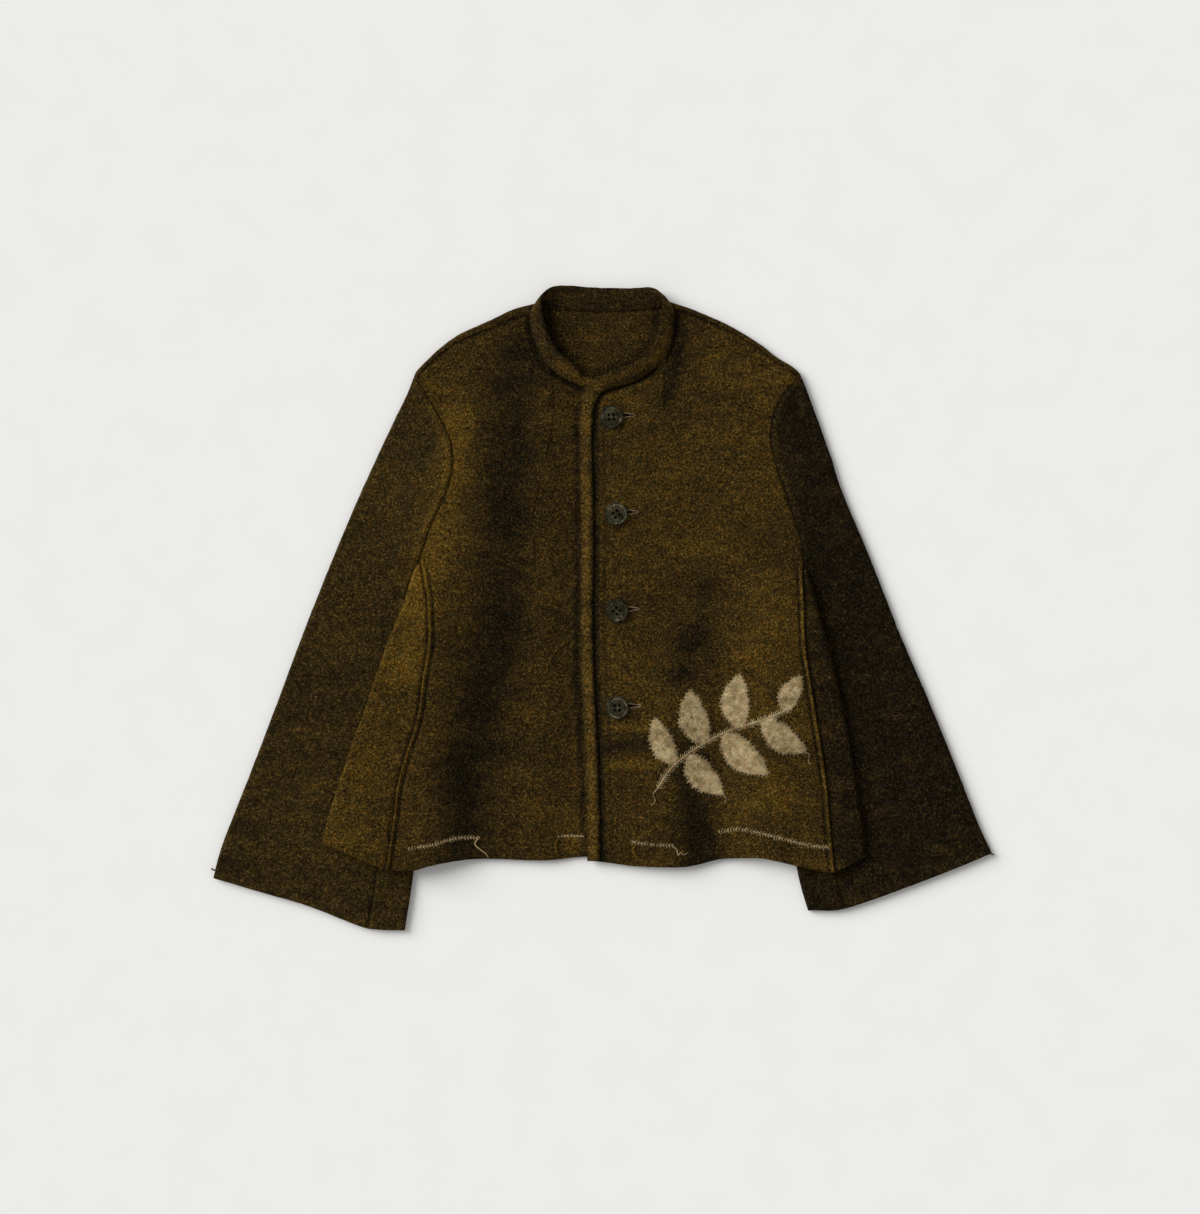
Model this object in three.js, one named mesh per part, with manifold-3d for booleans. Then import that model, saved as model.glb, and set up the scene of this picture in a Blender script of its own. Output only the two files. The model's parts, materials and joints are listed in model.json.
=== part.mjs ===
// A short, collarless jacket of thick boiled wool, buttoned and laid flat on its back.
// X runs across the garment, towards the wearer's left sleeve. Y runs up it, from hem to neck.
// Z runs up from the surface that it lies on. All sizes are in millimetres.
// The wool is a wall on both sides of a middle surface, and the panels lie on each other:
// sleeves under the body's sides, the back, then the two fronts, the left one on top.
import * as THREE from "three";
import { ConvexGeometry } from "three/addons/geometries/ConvexGeometry.js";
import { mergeVertices } from "three/addons/utils/BufferGeometryUtils.js";
import Module from "manifold-3d";

const wasm = await Module();
wasm.setup();

// Driving sizes of the cloth
const woolThickness = 2.6;
const halfWall = woolThickness / 2;
const seamGap = 0.4;
const cutGap = 0.35; // and where one piece is cut back by another
const cutTolerance = 0.05;
const foldRadius = 2.9; // a fold of this wool, from its centre to the wall's middle
const sleeveFoldRadius = 2.6;
const sideFoldRadius = 3.5; // the garment's side edge, where it rises over the sleeve
const topOfFold = halfWall + 2 * foldRadius; // middle of the upper layer where the garment lies flat
const overSleeve = 8.2; // the body's underside where a sleeve lies below it
const ridgeWidth = 6;
const ridgeHeight = 1.2;
const ridgeSlope = 2; // the ridge comes down to the panel in this width

// Driving sizes of the front
const overlapRise = 0.3; // the left front lies this much over topOfFold, to clear the right one
const underlapDrop = 2.8;
const underlapEdge = { x: 38, topY: 222, hemY: -254 }; // the right front's edge, under the left one
const underlapSlope = { from: -62, to: -27 }; // it dips between these x
const overlapEnd = { from: 60, to: 110 }; // and the left one comes down to topOfFold between these
const buttonRadius = 12;
const buttonThickness = 4.4;
const buttonHoleRadius = 1.1;
const buttonHoleSpread = 3.4; // from the button's centre to each of its four holes
const shankRadius = 1.3;
const slitHalfWidth = 1.9;
const slitAbove = 2; // the buttonhole lies this far above the button's centre
const slitEnd = { length: 22, halfWidth: 0.25 }; // its far end, from the button's centre
const buttonClearance = 0.3;
const stemInButton = 1.5;
const buttonHoleFloor = 2.2; // the holes are blind, and start this far over the underside
const buttonHoleTurns = [0.12, 0.37, 0.62, 0.87];
const buttons = [
  { name: "button_1", x: 9, y: 196 },
  { name: "button_2", x: 14, y: 96.5 },
  { name: "button_3", x: 14.5, y: -3 },
  { name: "button_4", x: 15, y: -102.5 },
];

// Driving sizes of the edge band, one strip that binds the neck and the left front's edge
const bandThickness = 4.4;

// Plan outlines of the wearer's two sides. x is the distance out from the centre.
// shoulder is the garment's top edge from neck to sleeve, and rollOver is how far the back
// comes over it onto the front, at the neck and at the sleeve.
// sideSections holds the side panel from armhole to hem: its seam with the front, the
// garment's outer edge, and its seam with the back underneath.
const sides = {
  right: {
    sign: -1,
    shoulder: [
      [74, 312], [92, 307], [119, 294.5], [146, 282], [164, 270], [178, 257.5], [190, 245],
      [194.5, 237],
    ],
    rollOver: { neck: 7, sleeve: 0 },
    armhole: [
      [177, 213], [164.5, 191], [156, 172], [153, 152], [156, 132], [163, 111], [173, 91],
      [181, 70], [187.5, 48.5],
    ],
    backArmhole: [[180, 205], [173, 175], [170, 145], [172, 115], [178, 80], [187.5, 48.5]],
    sleeveOuter: [
      [201, 220], [219, 183], [253, 109], [284, 35], [313, -39], [340.5, -113], [369, -187],
      [391, -243], [400.5, -278],
    ],
    cuff: [[400.5, -278], [351, -292.5], [301, -307], [252, -326], [232, -331], [203.5, -332]],
    sleeveInner: [
      [194.5, 47.6], [198.6, 38], [200.6, 26], [202.5, 10], [202, -10], [199, -40], [196, -75],
      [190, -140], [190, -210], [195, -275], [203.5, -332],
    ],
    sideSections: [
      { seam: [187.5, 48.5], edge: [192.8, 46.5], backSeam: [187.5, 48.5] },
      { seam: [184, 34], edge: [196, 36], backSeam: [184.5, 34] },
      { seam: [179.5, 6], edge: [205, 3], backSeam: [181, 6] },
      { seam: [179, -37], edge: [221, -36], backSeam: [183, -37] },
      { seam: [185, -75], edge: [235, -76], backSeam: [189, -75] },
      { seam: [190, -112], edge: [247, -112], backSeam: [195, -112] },
      { seam: [201, -147], edge: [259.5, -146], backSeam: [202, -147] },
      { seam: [210.5, -182], edge: [270.5, -180], backSeam: [209, -182] },
      { seam: [215.5, -222], edge: [282, -216], backSeam: [215, -222] },
      { seam: [222.5, -269], edge: [288.5, -243], backSeam: [220, -262] },
    ],
    hem: [
      [20, -256], [48, -259], [74, -259.5], [117, -258], [147, -259.5], [176, -264.5],
      [195, -269.5], [222.5, -269],
    ],
  },
  left: {
    sign: 1,
    shoulder: [
      [75.5, 313], [93, 307], [122, 294.5], [145, 282], [164, 270], [180, 257.5], [199, 245.5],
      [205, 237],
    ],
    rollOver: { neck: 2.2, sleeve: 0 },
    armhole: [
      [188, 222], [176, 199], [173, 172], [178, 146], [187, 120], [196, 94], [204, 68],
      [206.5, 46],
    ],
    backArmhole: [[191, 210], [186, 180], [185, 150], [188, 115], [196, 80], [206.5, 46]],
    sleeveOuter: [
      [212, 219], [234, 158.5], [246, 121.5], [277, 47], [306, -27], [338, -101], [368, -175],
      [388, -225], [400.5, -252],
    ],
    cuff: [[400.5, -252], [366, -266.5], [317, -285.5], [267.5, -303.5], [239, -311.5], [211.5, -312]],
    sleeveInner: [
      [213, 45], [215.2, 36], [215.8, 24], [217.5, 8], [216, -12], [212, -40], [206, -75],
      [197.5, -140], [195, -210], [200, -268], [211.5, -312],
    ],
    sideSections: [
      { seam: [206.5, 46], edge: [212, 44], backSeam: [206.5, 46] },
      { seam: [205.5, 32], edge: [214, 33], backSeam: [205, 32] },
      { seam: [206.8, 6], edge: [220, 4], backSeam: [204, 6] },
      { seam: [208.5, -37], edge: [231.5, -37], backSeam: [202, -37] },
      { seam: [214, -76], edge: [241, -75], backSeam: [205, -75] },
      { seam: [220.5, -116], edge: [249, -113], backSeam: [208, -113] },
      { seam: [226, -150], edge: [255.5, -148], backSeam: [211, -148] },
      { seam: [231, -187], edge: [260.5, -184], backSeam: [214, -184] },
      { seam: [234, -225], edge: [266, -220], backSeam: [218, -221] },
      { seam: [238.5, -272], edge: [270, -257], backSeam: [223, -262] },
    ],
    hem: [
      [-6.6, -260.5], [6, -262], [34, -265.5], [78, -266.5], [98, -264], [121, -258.5], [145, -257],
      [162, -257], [179, -260], [201, -265.5], [222.5, -270], [238.5, -272],
    ],
  },
};

// Seam lines shared by both fronts, the back and the edge band. x is signed here.
// neckSeam runs round the neck from the wearer's right front to the left front's corner:
// where the band is sewn on (base), its free edge (top), and the heights of both.
// The second part of the table follows the left front's edge down to the hem.
const bandSections = [
  { base: [-8, 226], top: [-10, 237], baseZ: 6.1, topZ: 7 },
  { base: [-21, 228], top: [-20, 239], baseZ: 6.4, topZ: 9 },
  { base: [-34, 234], top: [-29, 250], baseZ: 7.6, topZ: 14 },
  { base: [-48, 242], top: [-42, 259], baseZ: 8.2, topZ: 18 },
  { base: [-61, 256], top: [-52, 272], baseZ: 8.4, topZ: 19.5 },
  { base: [-70, 275], top: [-58, 286], baseZ: 8.4, topZ: 20 },
  { base: [-74, 292], top: [-62, 302], baseZ: 8, topZ: 19.5 },
  { base: [-72, 305], top: [-63, 318], baseZ: 6, topZ: 17.5 },
  { base: [-60, 308], top: [-54, 328], baseZ: 3.6, topZ: 13 },
  { base: [-40, 306.5], top: [-38, 330.5], baseZ: 2.4, topZ: 8.5 },
  { base: [-5, 305], top: [-5, 328.5], baseZ: 2.4, topZ: 7 },
  { base: [26, 305.5], top: [26, 328], baseZ: 2.4, topZ: 7.5 },
  { base: [52, 308.5], top: [50, 328.5], baseZ: 3.2, topZ: 11 },
  { base: [69, 309], top: [60, 322], baseZ: 6, topZ: 16 },
  { base: [74, 298], top: [62, 312], baseZ: 8, topZ: 19 },
  { base: [72.5, 279], top: [59, 285], baseZ: 8.4, topZ: 20 },
  { base: [64, 258], top: [49, 263], baseZ: 8.6, topZ: 19.5 },
  { base: [48, 242], top: [34, 252], baseZ: 8.8, topZ: 18.5 },
  { base: [32, 233], top: [16, 243], baseZ: 9, topZ: 16.5 },
  { base: [15, 227.5], top: [-3, 237], baseZ: 9.4, topZ: 15 },
  { base: [1, 223], top: [-15, 230.5], baseZ: 10, topZ: 13.2 },
  { base: [-6, 215], top: [-20.5, 220], baseZ: 9.2, topZ: 10.6 },
  { base: [-9, 203], top: [-22.5, 205], baseZ: 8.6, topZ: 8.9 },
];
const frontEdge = [
  { y: 170, top: -24 },
  { y: 115, top: -22.6 },
  { y: 60, top: -22 },
  { y: 10, top: -23 },
  { y: -45, top: -22.6 },
  { y: -95, top: -20.5 },
  { y: -150, top: -17.5 },
  { y: -205, top: -16 },
  { y: -260, top: -15.5 },
];
const frontEdgeWidth = 13;
const frontCorner = [[-9.5, 210], [-5, 217]]; // where the front edge's seam rounds into the neck's
const bandTail = 0.85; // on the front's edge the band's middle lies this much over the wool's
const bandStepsPerSection = 2;
// The sections of the band that are sewn to each panel
const bandOn = { front_right: [0, 8.5], back: [7.5, 13.5], front_left: [12.5, 31] };

// The largest soft folds of the two fronts: each one's line from the hem up, its height, its
// reach to the two sides, and the levels between which it grows from nothing
const folds = [
  { line: [[-178, -260], [-160, 140]], height: 0.8, reach: [30, 30], from: 110, to: -60 },
  { line: [[-70, -260], [-72, 140]], height: -0.9, reach: [26, 26], from: 150, to: 0 },
  { line: [[64, -260], [78, 140]], height: 1.6, reach: [30, 30], from: 20, to: -180 },
  { line: [[120, -260], [110, 140]], height: -0.9, reach: [22, 22], from: 60, to: -160 },
  {
    line: [[-178, -260], [-158, -157], [-139, -95], [-128, -33], [-124, 29], [-124, 240]],
    height: 3.4,
    reach: [34, 30],
    from: 262,
    to: 190,
  },
  { line: [[-62, -260], [-60, -120], [-58, 240]], height: 1.4, reach: [16, 18], from: 230, to: 120 },
  { line: [[70, -260], [74, 20]], height: 2.8, reach: [34, 26], from: 0, to: -150 },
  { line: [[168, -260], [160, 60]], height: 1.6, reach: [28, 26], from: -20, to: -160 },
];

// How the body rises over the sleeves that lie under it, and how the fronts rise to the armholes
const sleeveRise = { innerX: 118, outerX: 182, from: 47, to: 22 };
const armholeRise = {
  height: 3, innerX: 76, outerX: 165, shoulderY: 237, armholeY: 150, underarmY: 20, endY: -150,
};

const smooth = (t) => {
  const clamped = Math.min(1, Math.max(0, t));
  return clamped * clamped * (3 - 2 * clamped);
};
const mix = (a, b, t) => a + (b - a) * t;
const ramp = (value, from, to) => smooth((value - from) / (to - from));

// Middle surface of the body's lower layer
function lowerZ(x, y) {
  const out = ramp(Math.abs(x), sleeveRise.innerX, sleeveRise.outerX);
  return halfWall + overSleeve * out * ramp(y, sleeveRise.from, sleeveRise.to);
}

// How much the upper layer stands over the flat, apart from its folds
function riseZ(x, y) {
  const out = ramp(Math.abs(x), armholeRise.innerX, armholeRise.outerX);
  const above = ramp(y, armholeRise.shoulderY, armholeRise.armholeY);
  const below = ramp(y, armholeRise.endY, armholeRise.underarmY);
  return armholeRise.height * out * above * below + lowerZ(x, y) - halfWall;
}

// Where a fold's line is at a level, straight between its points and upright past its ends
function lineX(line, y) {
  const next = line.findIndex((point) => point[1] >= y);
  if (next <= 0) return next ? line.at(-1)[0] : line[0][0];
  const [[lowX, lowY], [highX, highY]] = line.slice(next - 1, next + 1);
  return mix(lowX, highX, (y - lowY) / (highY - lowY));
}

function foldZ(x, y) {
  let height = 0;
  for (const fold of folds) {
    const away = x - lineX(fold.line, y);
    const reach = fold.reach[away < 0 ? 0 : 1];
    height += fold.height * ramp(y, fold.from, fold.to) * Math.exp(-((away / reach) ** 2));
  }
  return height;
}

// Middle surfaces of the two fronts. The right one dips where the left one lies over it.
function rightFrontZ(x, y) {
  const dip = underlapDrop * ramp(x, underlapSlope.from, underlapSlope.to);
  return topOfFold - dip + riseZ(x, y) + foldZ(x, y);
}
function leftFrontZ(x, y) {
  const rise = overlapRise * (1 - ramp(x, overlapEnd.from, overlapEnd.to));
  return topOfFold + rise + riseZ(x, y) + foldZ(x, y);
}

// A curve through plan points, asked for by its share of the length
function curve(points) {
  const spline = new THREE.SplineCurve(points.map(([x, y]) => new THREE.Vector2(x, y)));
  return (share) => spline.getPointAt(Math.min(1, Math.max(0, share)));
}

// Two curves one after the other, the first taking the given share
function joined(first, second, firstShare) {
  return (t) => (t <= firstShare ? first(t / firstShare) : second((t - firstShare) / (1 - firstShare)));
}

// A plan point inside four outlines: top and bottom run with u, start and end run with v
function between(top, bottom, start, end, u, v) {
  const corners = [top(0), top(1), bottom(0), bottom(1)];
  const across = (name) =>
    (1 - v) * top(u)[name] + v * bottom(u)[name] + (1 - u) * start(v)[name] + u * end(v)[name] -
    (1 - u) * (1 - v) * corners[0][name] - u * (1 - v) * corners[1][name] -
    (1 - u) * v * corners[2][name] - u * v * corners[3][name];
  return new THREE.Vector2(across("x"), across("y"));
}

// Names a point by its place to 0.02 mm, so that pieces that share it find each other. The small
// shift keeps round sizes away from the borders between two names.
const namesPerMm = 50;
const nameShift = 0.137;
const key = (p) => [p.x, p.y, p.z].map((v) => Math.round(v * namesPerMm + nameShift)).join(" ");

// The middle surface of a piece of cloth: its grids of points are welded where they meet
function middleSurface({ grids, turned }) {
  const corners = [];
  const triangle = (a, b, c) => {
    if (key(a) === key(b) || key(b) === key(c) || key(c) === key(a)) return;
    corners.push(...(turned ? [a, c, b] : [a, b, c]));
  };
  for (const rows of grids)
    for (let i = 0; i + 1 < rows.length; i++)
      for (let j = 0; j + 1 < rows[i].length; j++) {
        triangle(rows[i][j], rows[i][j + 1], rows[i + 1][j + 1]);
        triangle(rows[i][j], rows[i + 1][j + 1], rows[i + 1][j]);
      }
  return mergeVertices(new THREE.BufferGeometry().setFromPoints(corners), 1e-3);
}

// Adds a surface's normals to those of the pieces that it is sewn to, so that the wool's two
// faces run on smoothly over each seam
function addNormals(surface, normals) {
  const triangles = surface.index.array;
  for (let k = 0; k < triangles.length; k += 3) {
    const [a, b, c] = [0, 1, 2].map((e) =>
      new THREE.Vector3().fromBufferAttribute(surface.attributes.position, triangles[k + e]),
    );
    const face = b.clone().sub(a).cross(c.clone().sub(a));
    for (const p of [a, b, c]) normals.set(key(p), (normals.get(key(p)) ?? new THREE.Vector3()).add(face));
  }
}

// A closed wall of cloth round a middle surface. The outer face is raised at the points named,
// and the cut edges are drawn in by half a seam's gap, or let out when it is grown for cutting.
function clothWall(surface, normals, raised = new Set(), grow = 0) {
  const triangles = surface.index.array;
  const count = surface.attributes.position.count;
  const points = Array.from({ length: count }, (_, i) =>
    new THREE.Vector3().fromBufferAttribute(surface.attributes.position, i),
  );
  const facing = points.map((p) => normals.get(key(p)).clone().normalize());
  const edges = new Set();
  for (let k = 0; k < triangles.length; k += 3)
    for (let e = 0; e < 3; e++) edges.add(triangles[k + e] + " " + triangles[k + ((e + 1) % 3)]);
  const rim = [...edges]
    .map((edge) => edge.split(" ").map(Number))
    .filter(([a, b]) => !edges.has(b + " " + a));
  const inward = new Map();
  for (const [a, b] of rim)
    for (const i of [a, b]) {
      const out = points[b].clone().sub(points[a]).normalize().cross(facing[i]);
      inward.set(i, (inward.get(i) ?? new THREE.Vector3()).sub(out));
    }
  const drawnIn = seamGap / 2 - grow;
  for (const [i, way] of inward) points[i] = points[i].clone().addScaledVector(way.normalize(), drawnIn);
  const outer = points.map((p, i) => {
    const ridge = raised.has(key(new THREE.Vector3().fromBufferAttribute(surface.attributes.position, i)));
    return p.clone().addScaledVector(facing[i], halfWall + grow + (ridge ? ridgeHeight : 0));
  });
  const inner = points.map((p, i) => p.clone().addScaledVector(facing[i], -halfWall - grow));
  const faces = [];
  for (let k = 0; k < triangles.length; k += 3) {
    const [a, b, c] = triangles.slice(k, k + 3);
    faces.push(a, b, c, a + count, c + count, b + count);
  }
  for (const [a, b] of rim) faces.push(b, a, a + count, b, a + count, b + count);
  const wall = new THREE.BufferGeometry().setFromPoints([...outer, ...inner]);
  wall.setIndex(faces);
  return wall;
}

// Solids for cutting one piece by another
function solidFrom(geometry) {
  const bare = geometry.clone();
  bare.deleteAttribute("normal");
  bare.deleteAttribute("uv");
  const merged = mergeVertices(bare, 1e-4);
  const mesh = new wasm.Mesh({
    numProp: 3,
    vertProperties: new Float32Array(merged.attributes.position.array),
    triVerts: new Uint32Array(merged.index.array),
  });
  return new wasm.Manifold(mesh);
}

function geometryFrom(solid) {
  const mesh = solid.getMesh();
  const geometry = new THREE.BufferGeometry();
  geometry.setAttribute("position", new THREE.BufferAttribute(new Float32Array(mesh.vertProperties), 3));
  geometry.setIndex(new THREE.BufferAttribute(new Uint32Array(mesh.triVerts), 1));
  geometry.computeVertexNormals();
  return geometry;
}

// Cuts a piece by others and keeps its largest body, without the cuts' smallest slivers
function cutBy(geometry, cutters) {
  let solid = solidFrom(geometry);
  for (const cutter of cutters) solid = solid.subtract(solidFrom(cutter));
  const bodies = solid.simplify(cutTolerance).decompose();
  return geometryFrom(bodies.sort((a, b) => b.volume() - a.volume())[0]);
}

const at = (plan, z) => new THREE.Vector3(plan.x, plan.y, z);
const signed = (plan, sign) => new THREE.Vector2(plan.x * sign, plan.y);
const shares = (steps) => Array.from({ length: steps + 1 }, (_, i) => i / steps);

// A point of an outline moved square to it in the plan, to the right of the way it runs
function movedRight(line, t, distance) {
  const along = line(Math.min(1, t + 0.02)).sub(line(Math.max(0, t - 0.02))).normalize();
  return line(t).add(new THREE.Vector2(along.y, -along.x).multiplyScalar(distance));
}

// Steps of the grids. Pieces that are sewn together take the same steps along their seam.
const armholeSteps = 9;
const seamSteps = 10;
const armholeShare = armholeSteps / (armholeSteps + seamSteps);
const neckSteps = 6;
const shoulderSteps = 6;
const neckShare = neckSteps / (neckSteps + shoulderSteps);
const seamCrowding = 1.4; // the side seams' steps are closer together by the underarm
const bodyRows = shares(armholeSteps + seamSteps);

// Half a fold, from the upper layer to the fold's middle, and a whole one
const halfTurns = [0, 0.2, 0.36, 0.46, 0.5];
const foldTurns = [...halfTurns, ...halfTurns.slice(0, -1).reverse().map((turn) => 1 - turn)];

// Where the back's fold starts: in from the garment's top edge by the fold and half the wall
const foldInset = foldRadius + halfWall;
const shoulderFold = (side, t) => movedRight(curve(side.shoulder), t, foldInset);

// The front's shoulder seam lies where the back, come over the shoulder, ends
const shoulderSeam = (side, t) =>
  movedRight(curve(side.shoulder), t, foldInset + mix(side.rollOver.neck, side.rollOver.sleeve, t));

// The seams that go down one side, and its armholes
function sideCurves(side) {
  const [seam, edge, backSeam] = ["seam", "edge", "backSeam"].map((name) => {
    const line = curve(side.sideSections.map((row) => row[name]));
    return (t) => line(t ** seamCrowding);
  });
  return {
    seam,
    edge,
    backSeam,
    frontHole: curve([shoulderSeam(side, 1).toArray(), ...side.armhole]),
    backHole: curve([shoulderFold(side, 1).toArray(), ...side.backArmhole]),
  };
}

// A front's neck edge, a little way under the band that it is cut back by
const underBand = 0.2;
const neckLine = (first, last) =>
  bandSections
    .slice(first, last + 1)
    .map(({ base, top }) => [Math.abs(mix(base[0], top[0], underBand)), mix(base[1], top[1], underBand)]);

// One front panel. Its neck, centre edge and hem are given, from the centre outwards.
function frontPanel(side, neck, centre, hem, height) {
  const { seam, frontHole } = sideCurves(side);
  const top = joined(neck, (t) => shoulderSeam(side, t), neckShare);
  const outer = joined(frontHole, seam, armholeShare);
  const rows = bodyRows.map((v) =>
    shares(neckSteps + shoulderSteps).map((u) => {
      const plan = signed(between(top, hem, centre, outer, u, v), side.sign);
      return at(plan, height(plan.x, plan.y));
    }),
  );
  for (const row of rows) {
    const [near, last] = row.slice(-2);
    const ridge = [ridgeWidth + ridgeSlope, ridgeWidth].map((reach) =>
      last.clone().lerp(near, reach / last.distanceTo(near)),
    );
    row.splice(-1, 0, ...ridge);
  }
  const raised = new Set(rows.slice(armholeSteps + 1).flatMap((row) => row.slice(-2).map(key)));
  return { grids: [rows], turned: side.sign > 0, raised };
}

function rightFront() {
  const side = sides.right;
  const corners = [[-underlapEdge.x, underlapEdge.topY], [-underlapEdge.x, underlapEdge.hemY]];
  const middle = [0, underlapEdge.topY];
  const neck = curve([corners[0], middle, ...neckLine(1, 6), shoulderSeam(side, 0).toArray()]);
  return frontPanel(side, neck, curve(corners), curve([corners[1], ...side.hem]), rightFrontZ);
}

function leftFront() {
  const side = sides.left;
  const edge = frontEdge.slice(0, -1).map((row) => [row.top + frontEdgeWidth, row.y]);
  const neck = curve([...frontCorner, ...neckLine(14, 20).reverse(), shoulderSeam(side, 0).toArray()]);
  const centre = curve([frontCorner[0], ...edge, side.hem[0]]);
  return frontPanel(side, neck, centre, curve(side.hem), leftFrontZ);
}

// A fold of cloth in the plan's given direction, between the heights of an upper and a lower layer
function foldPoint(plan, away, turn, upper, lower, reach) {
  const z = (upper + lower) / 2 + ((upper - lower) / 2) * Math.cos(Math.PI * turn);
  return at(plan.clone().addScaledVector(away, reach * Math.sin(Math.PI * turn)), z);
}

// The back lies on the surface below, and comes over the shoulders onto the fronts
const backHem = [[-120, -253], [0, -254], [120, -253]];
function back() {
  const ends = [sides.right, sides.left].map((side) => signed(shoulderFold(side, 0), side.sign).toArray());
  const neck = curve([ends[0], ...bandSections.slice(8, 13).map((row) => row.base), ends[1]]);
  const columns = shoulderSteps;
  const top = (t) => {
    if (t <= 1 / 3) return signed(shoulderFold(sides.right, 1 - 3 * t), -1);
    if (t >= 2 / 3) return signed(shoulderFold(sides.left, 3 * t - 2), 1);
    return neck(3 * t - 1);
  };
  const [start, end] = [sides.right, sides.left].map((side) => {
    const { backHole, backSeam } = sideCurves(side);
    const line = joined(backHole, backSeam, armholeShare);
    return (v) => signed(line(v), side.sign);
  });
  const hem = curve([start(1).toArray(), ...backHem, end(1).toArray()]);
  const rows = bodyRows.map((v) =>
    shares(columns * 3).map((u) => {
      const plan = between(top, hem, start, end, u, v);
      return at(plan, lowerZ(plan.x, plan.y));
    }),
  );
  const overShoulder = (side) =>
    shares(columns).map((t) => {
      const share = side.sign < 0 ? 1 - t : t;
      const fold = signed(shoulderFold(side, share), side.sign);
      const away = signed(movedRight(curve(side.shoulder), share, 0), side.sign).sub(fold).normalize();
      const arc = foldTurns.map((turn) => foldPoint(fold, away, 1 - turn, topOfFold, halfWall, foldRadius));
      const seam = signed(shoulderSeam(side, share), side.sign);
      return [...arc, ...[0.5, 1].map((part) => at(fold.clone().lerp(seam, part), topOfFold))];
    });
  return { grids: [rows, overShoulder(sides.right), overShoulder(sides.left)], turned: false };
}

// A side panel, from its seam with the front, round the garment's edge, to the back's seam
const sideTurns = [0.14, 0.38, 0.62, 0.86];
function sidePanel(side, height) {
  const { seam, edge, backSeam } = sideCurves(side);
  const rows = shares(seamSteps).map((v) => {
    const edgePlan = signed(edge(v), side.sign);
    const upper = height(edgePlan.x, edgePlan.y);
    const lower = lowerZ(edgePlan.x, edgePlan.y);
    const room = edge(v).distanceTo(seam(v)) - halfWall - seamGap;
    const reach = Math.min((upper - lower) / 2, sideFoldRadius, room);
    const turn = signed(movedRight(edge, v, reach + halfWall), side.sign);
    const away = edgePlan.clone().sub(signed(movedRight(edge, v, 1), side.sign));
    const [turnZ, turnLowerZ] = [height(turn.x, turn.y), lowerZ(turn.x, turn.y)];
    const flat = (from, to, surface) =>
      shares(4).map((t) => {
        const plan = from.clone().lerp(to, t);
        return at(plan, surface(plan.x, plan.y));
      });
    return [
      ...flat(signed(seam(v), side.sign), turn, height),
      ...sideTurns.map((t) => foldPoint(turn, away, t, turnZ, turnLowerZ, reach)),
      ...flat(turn, signed(backSeam(v), side.sign), lowerZ),
    ];
  });
  return { grids: [rows], turned: side.sign > 0, tip: rows.slice(0, 2).flat() };
}

// The room that a side panel takes at the underarm, for cutting the sleeve back from it
function roomRound(points) {
  const ways = [-halfWall - cutGap, halfWall + cutGap];
  const corners = points.flatMap((p) =>
    ways.flatMap((x) => ways.flatMap((y) => ways.map((z) => new THREE.Vector3(x, y, z).add(p)))),
  );
  return new ConvexGeometry(corners);
}

// Sleeves. Each row of points runs across, from the outer edge's fold to the armhole, and
// below the underarm to the inner edge's fold.
const sleeveSteps = 11;
const underarmShare = 0.31; // how far down its outer edge a sleeve is square to the underarm
const sleeveSeam = 34; // the under sleeve comes this far round onto the top, at the cuff
const liftWidth = 70; // the sleeve's top comes down from the armhole's height in this width
const innerTurns = [0, 0.22, 0.5, 0.78, 1];
const sleeveCrowding = 1.45; // its steps are closer together by the underarm
const cuffBow = 0.45; // the cuff's curve is felt from here down
const seamDrift = 0.6; // the under sleeve's seam has come round onto the top by here
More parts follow.
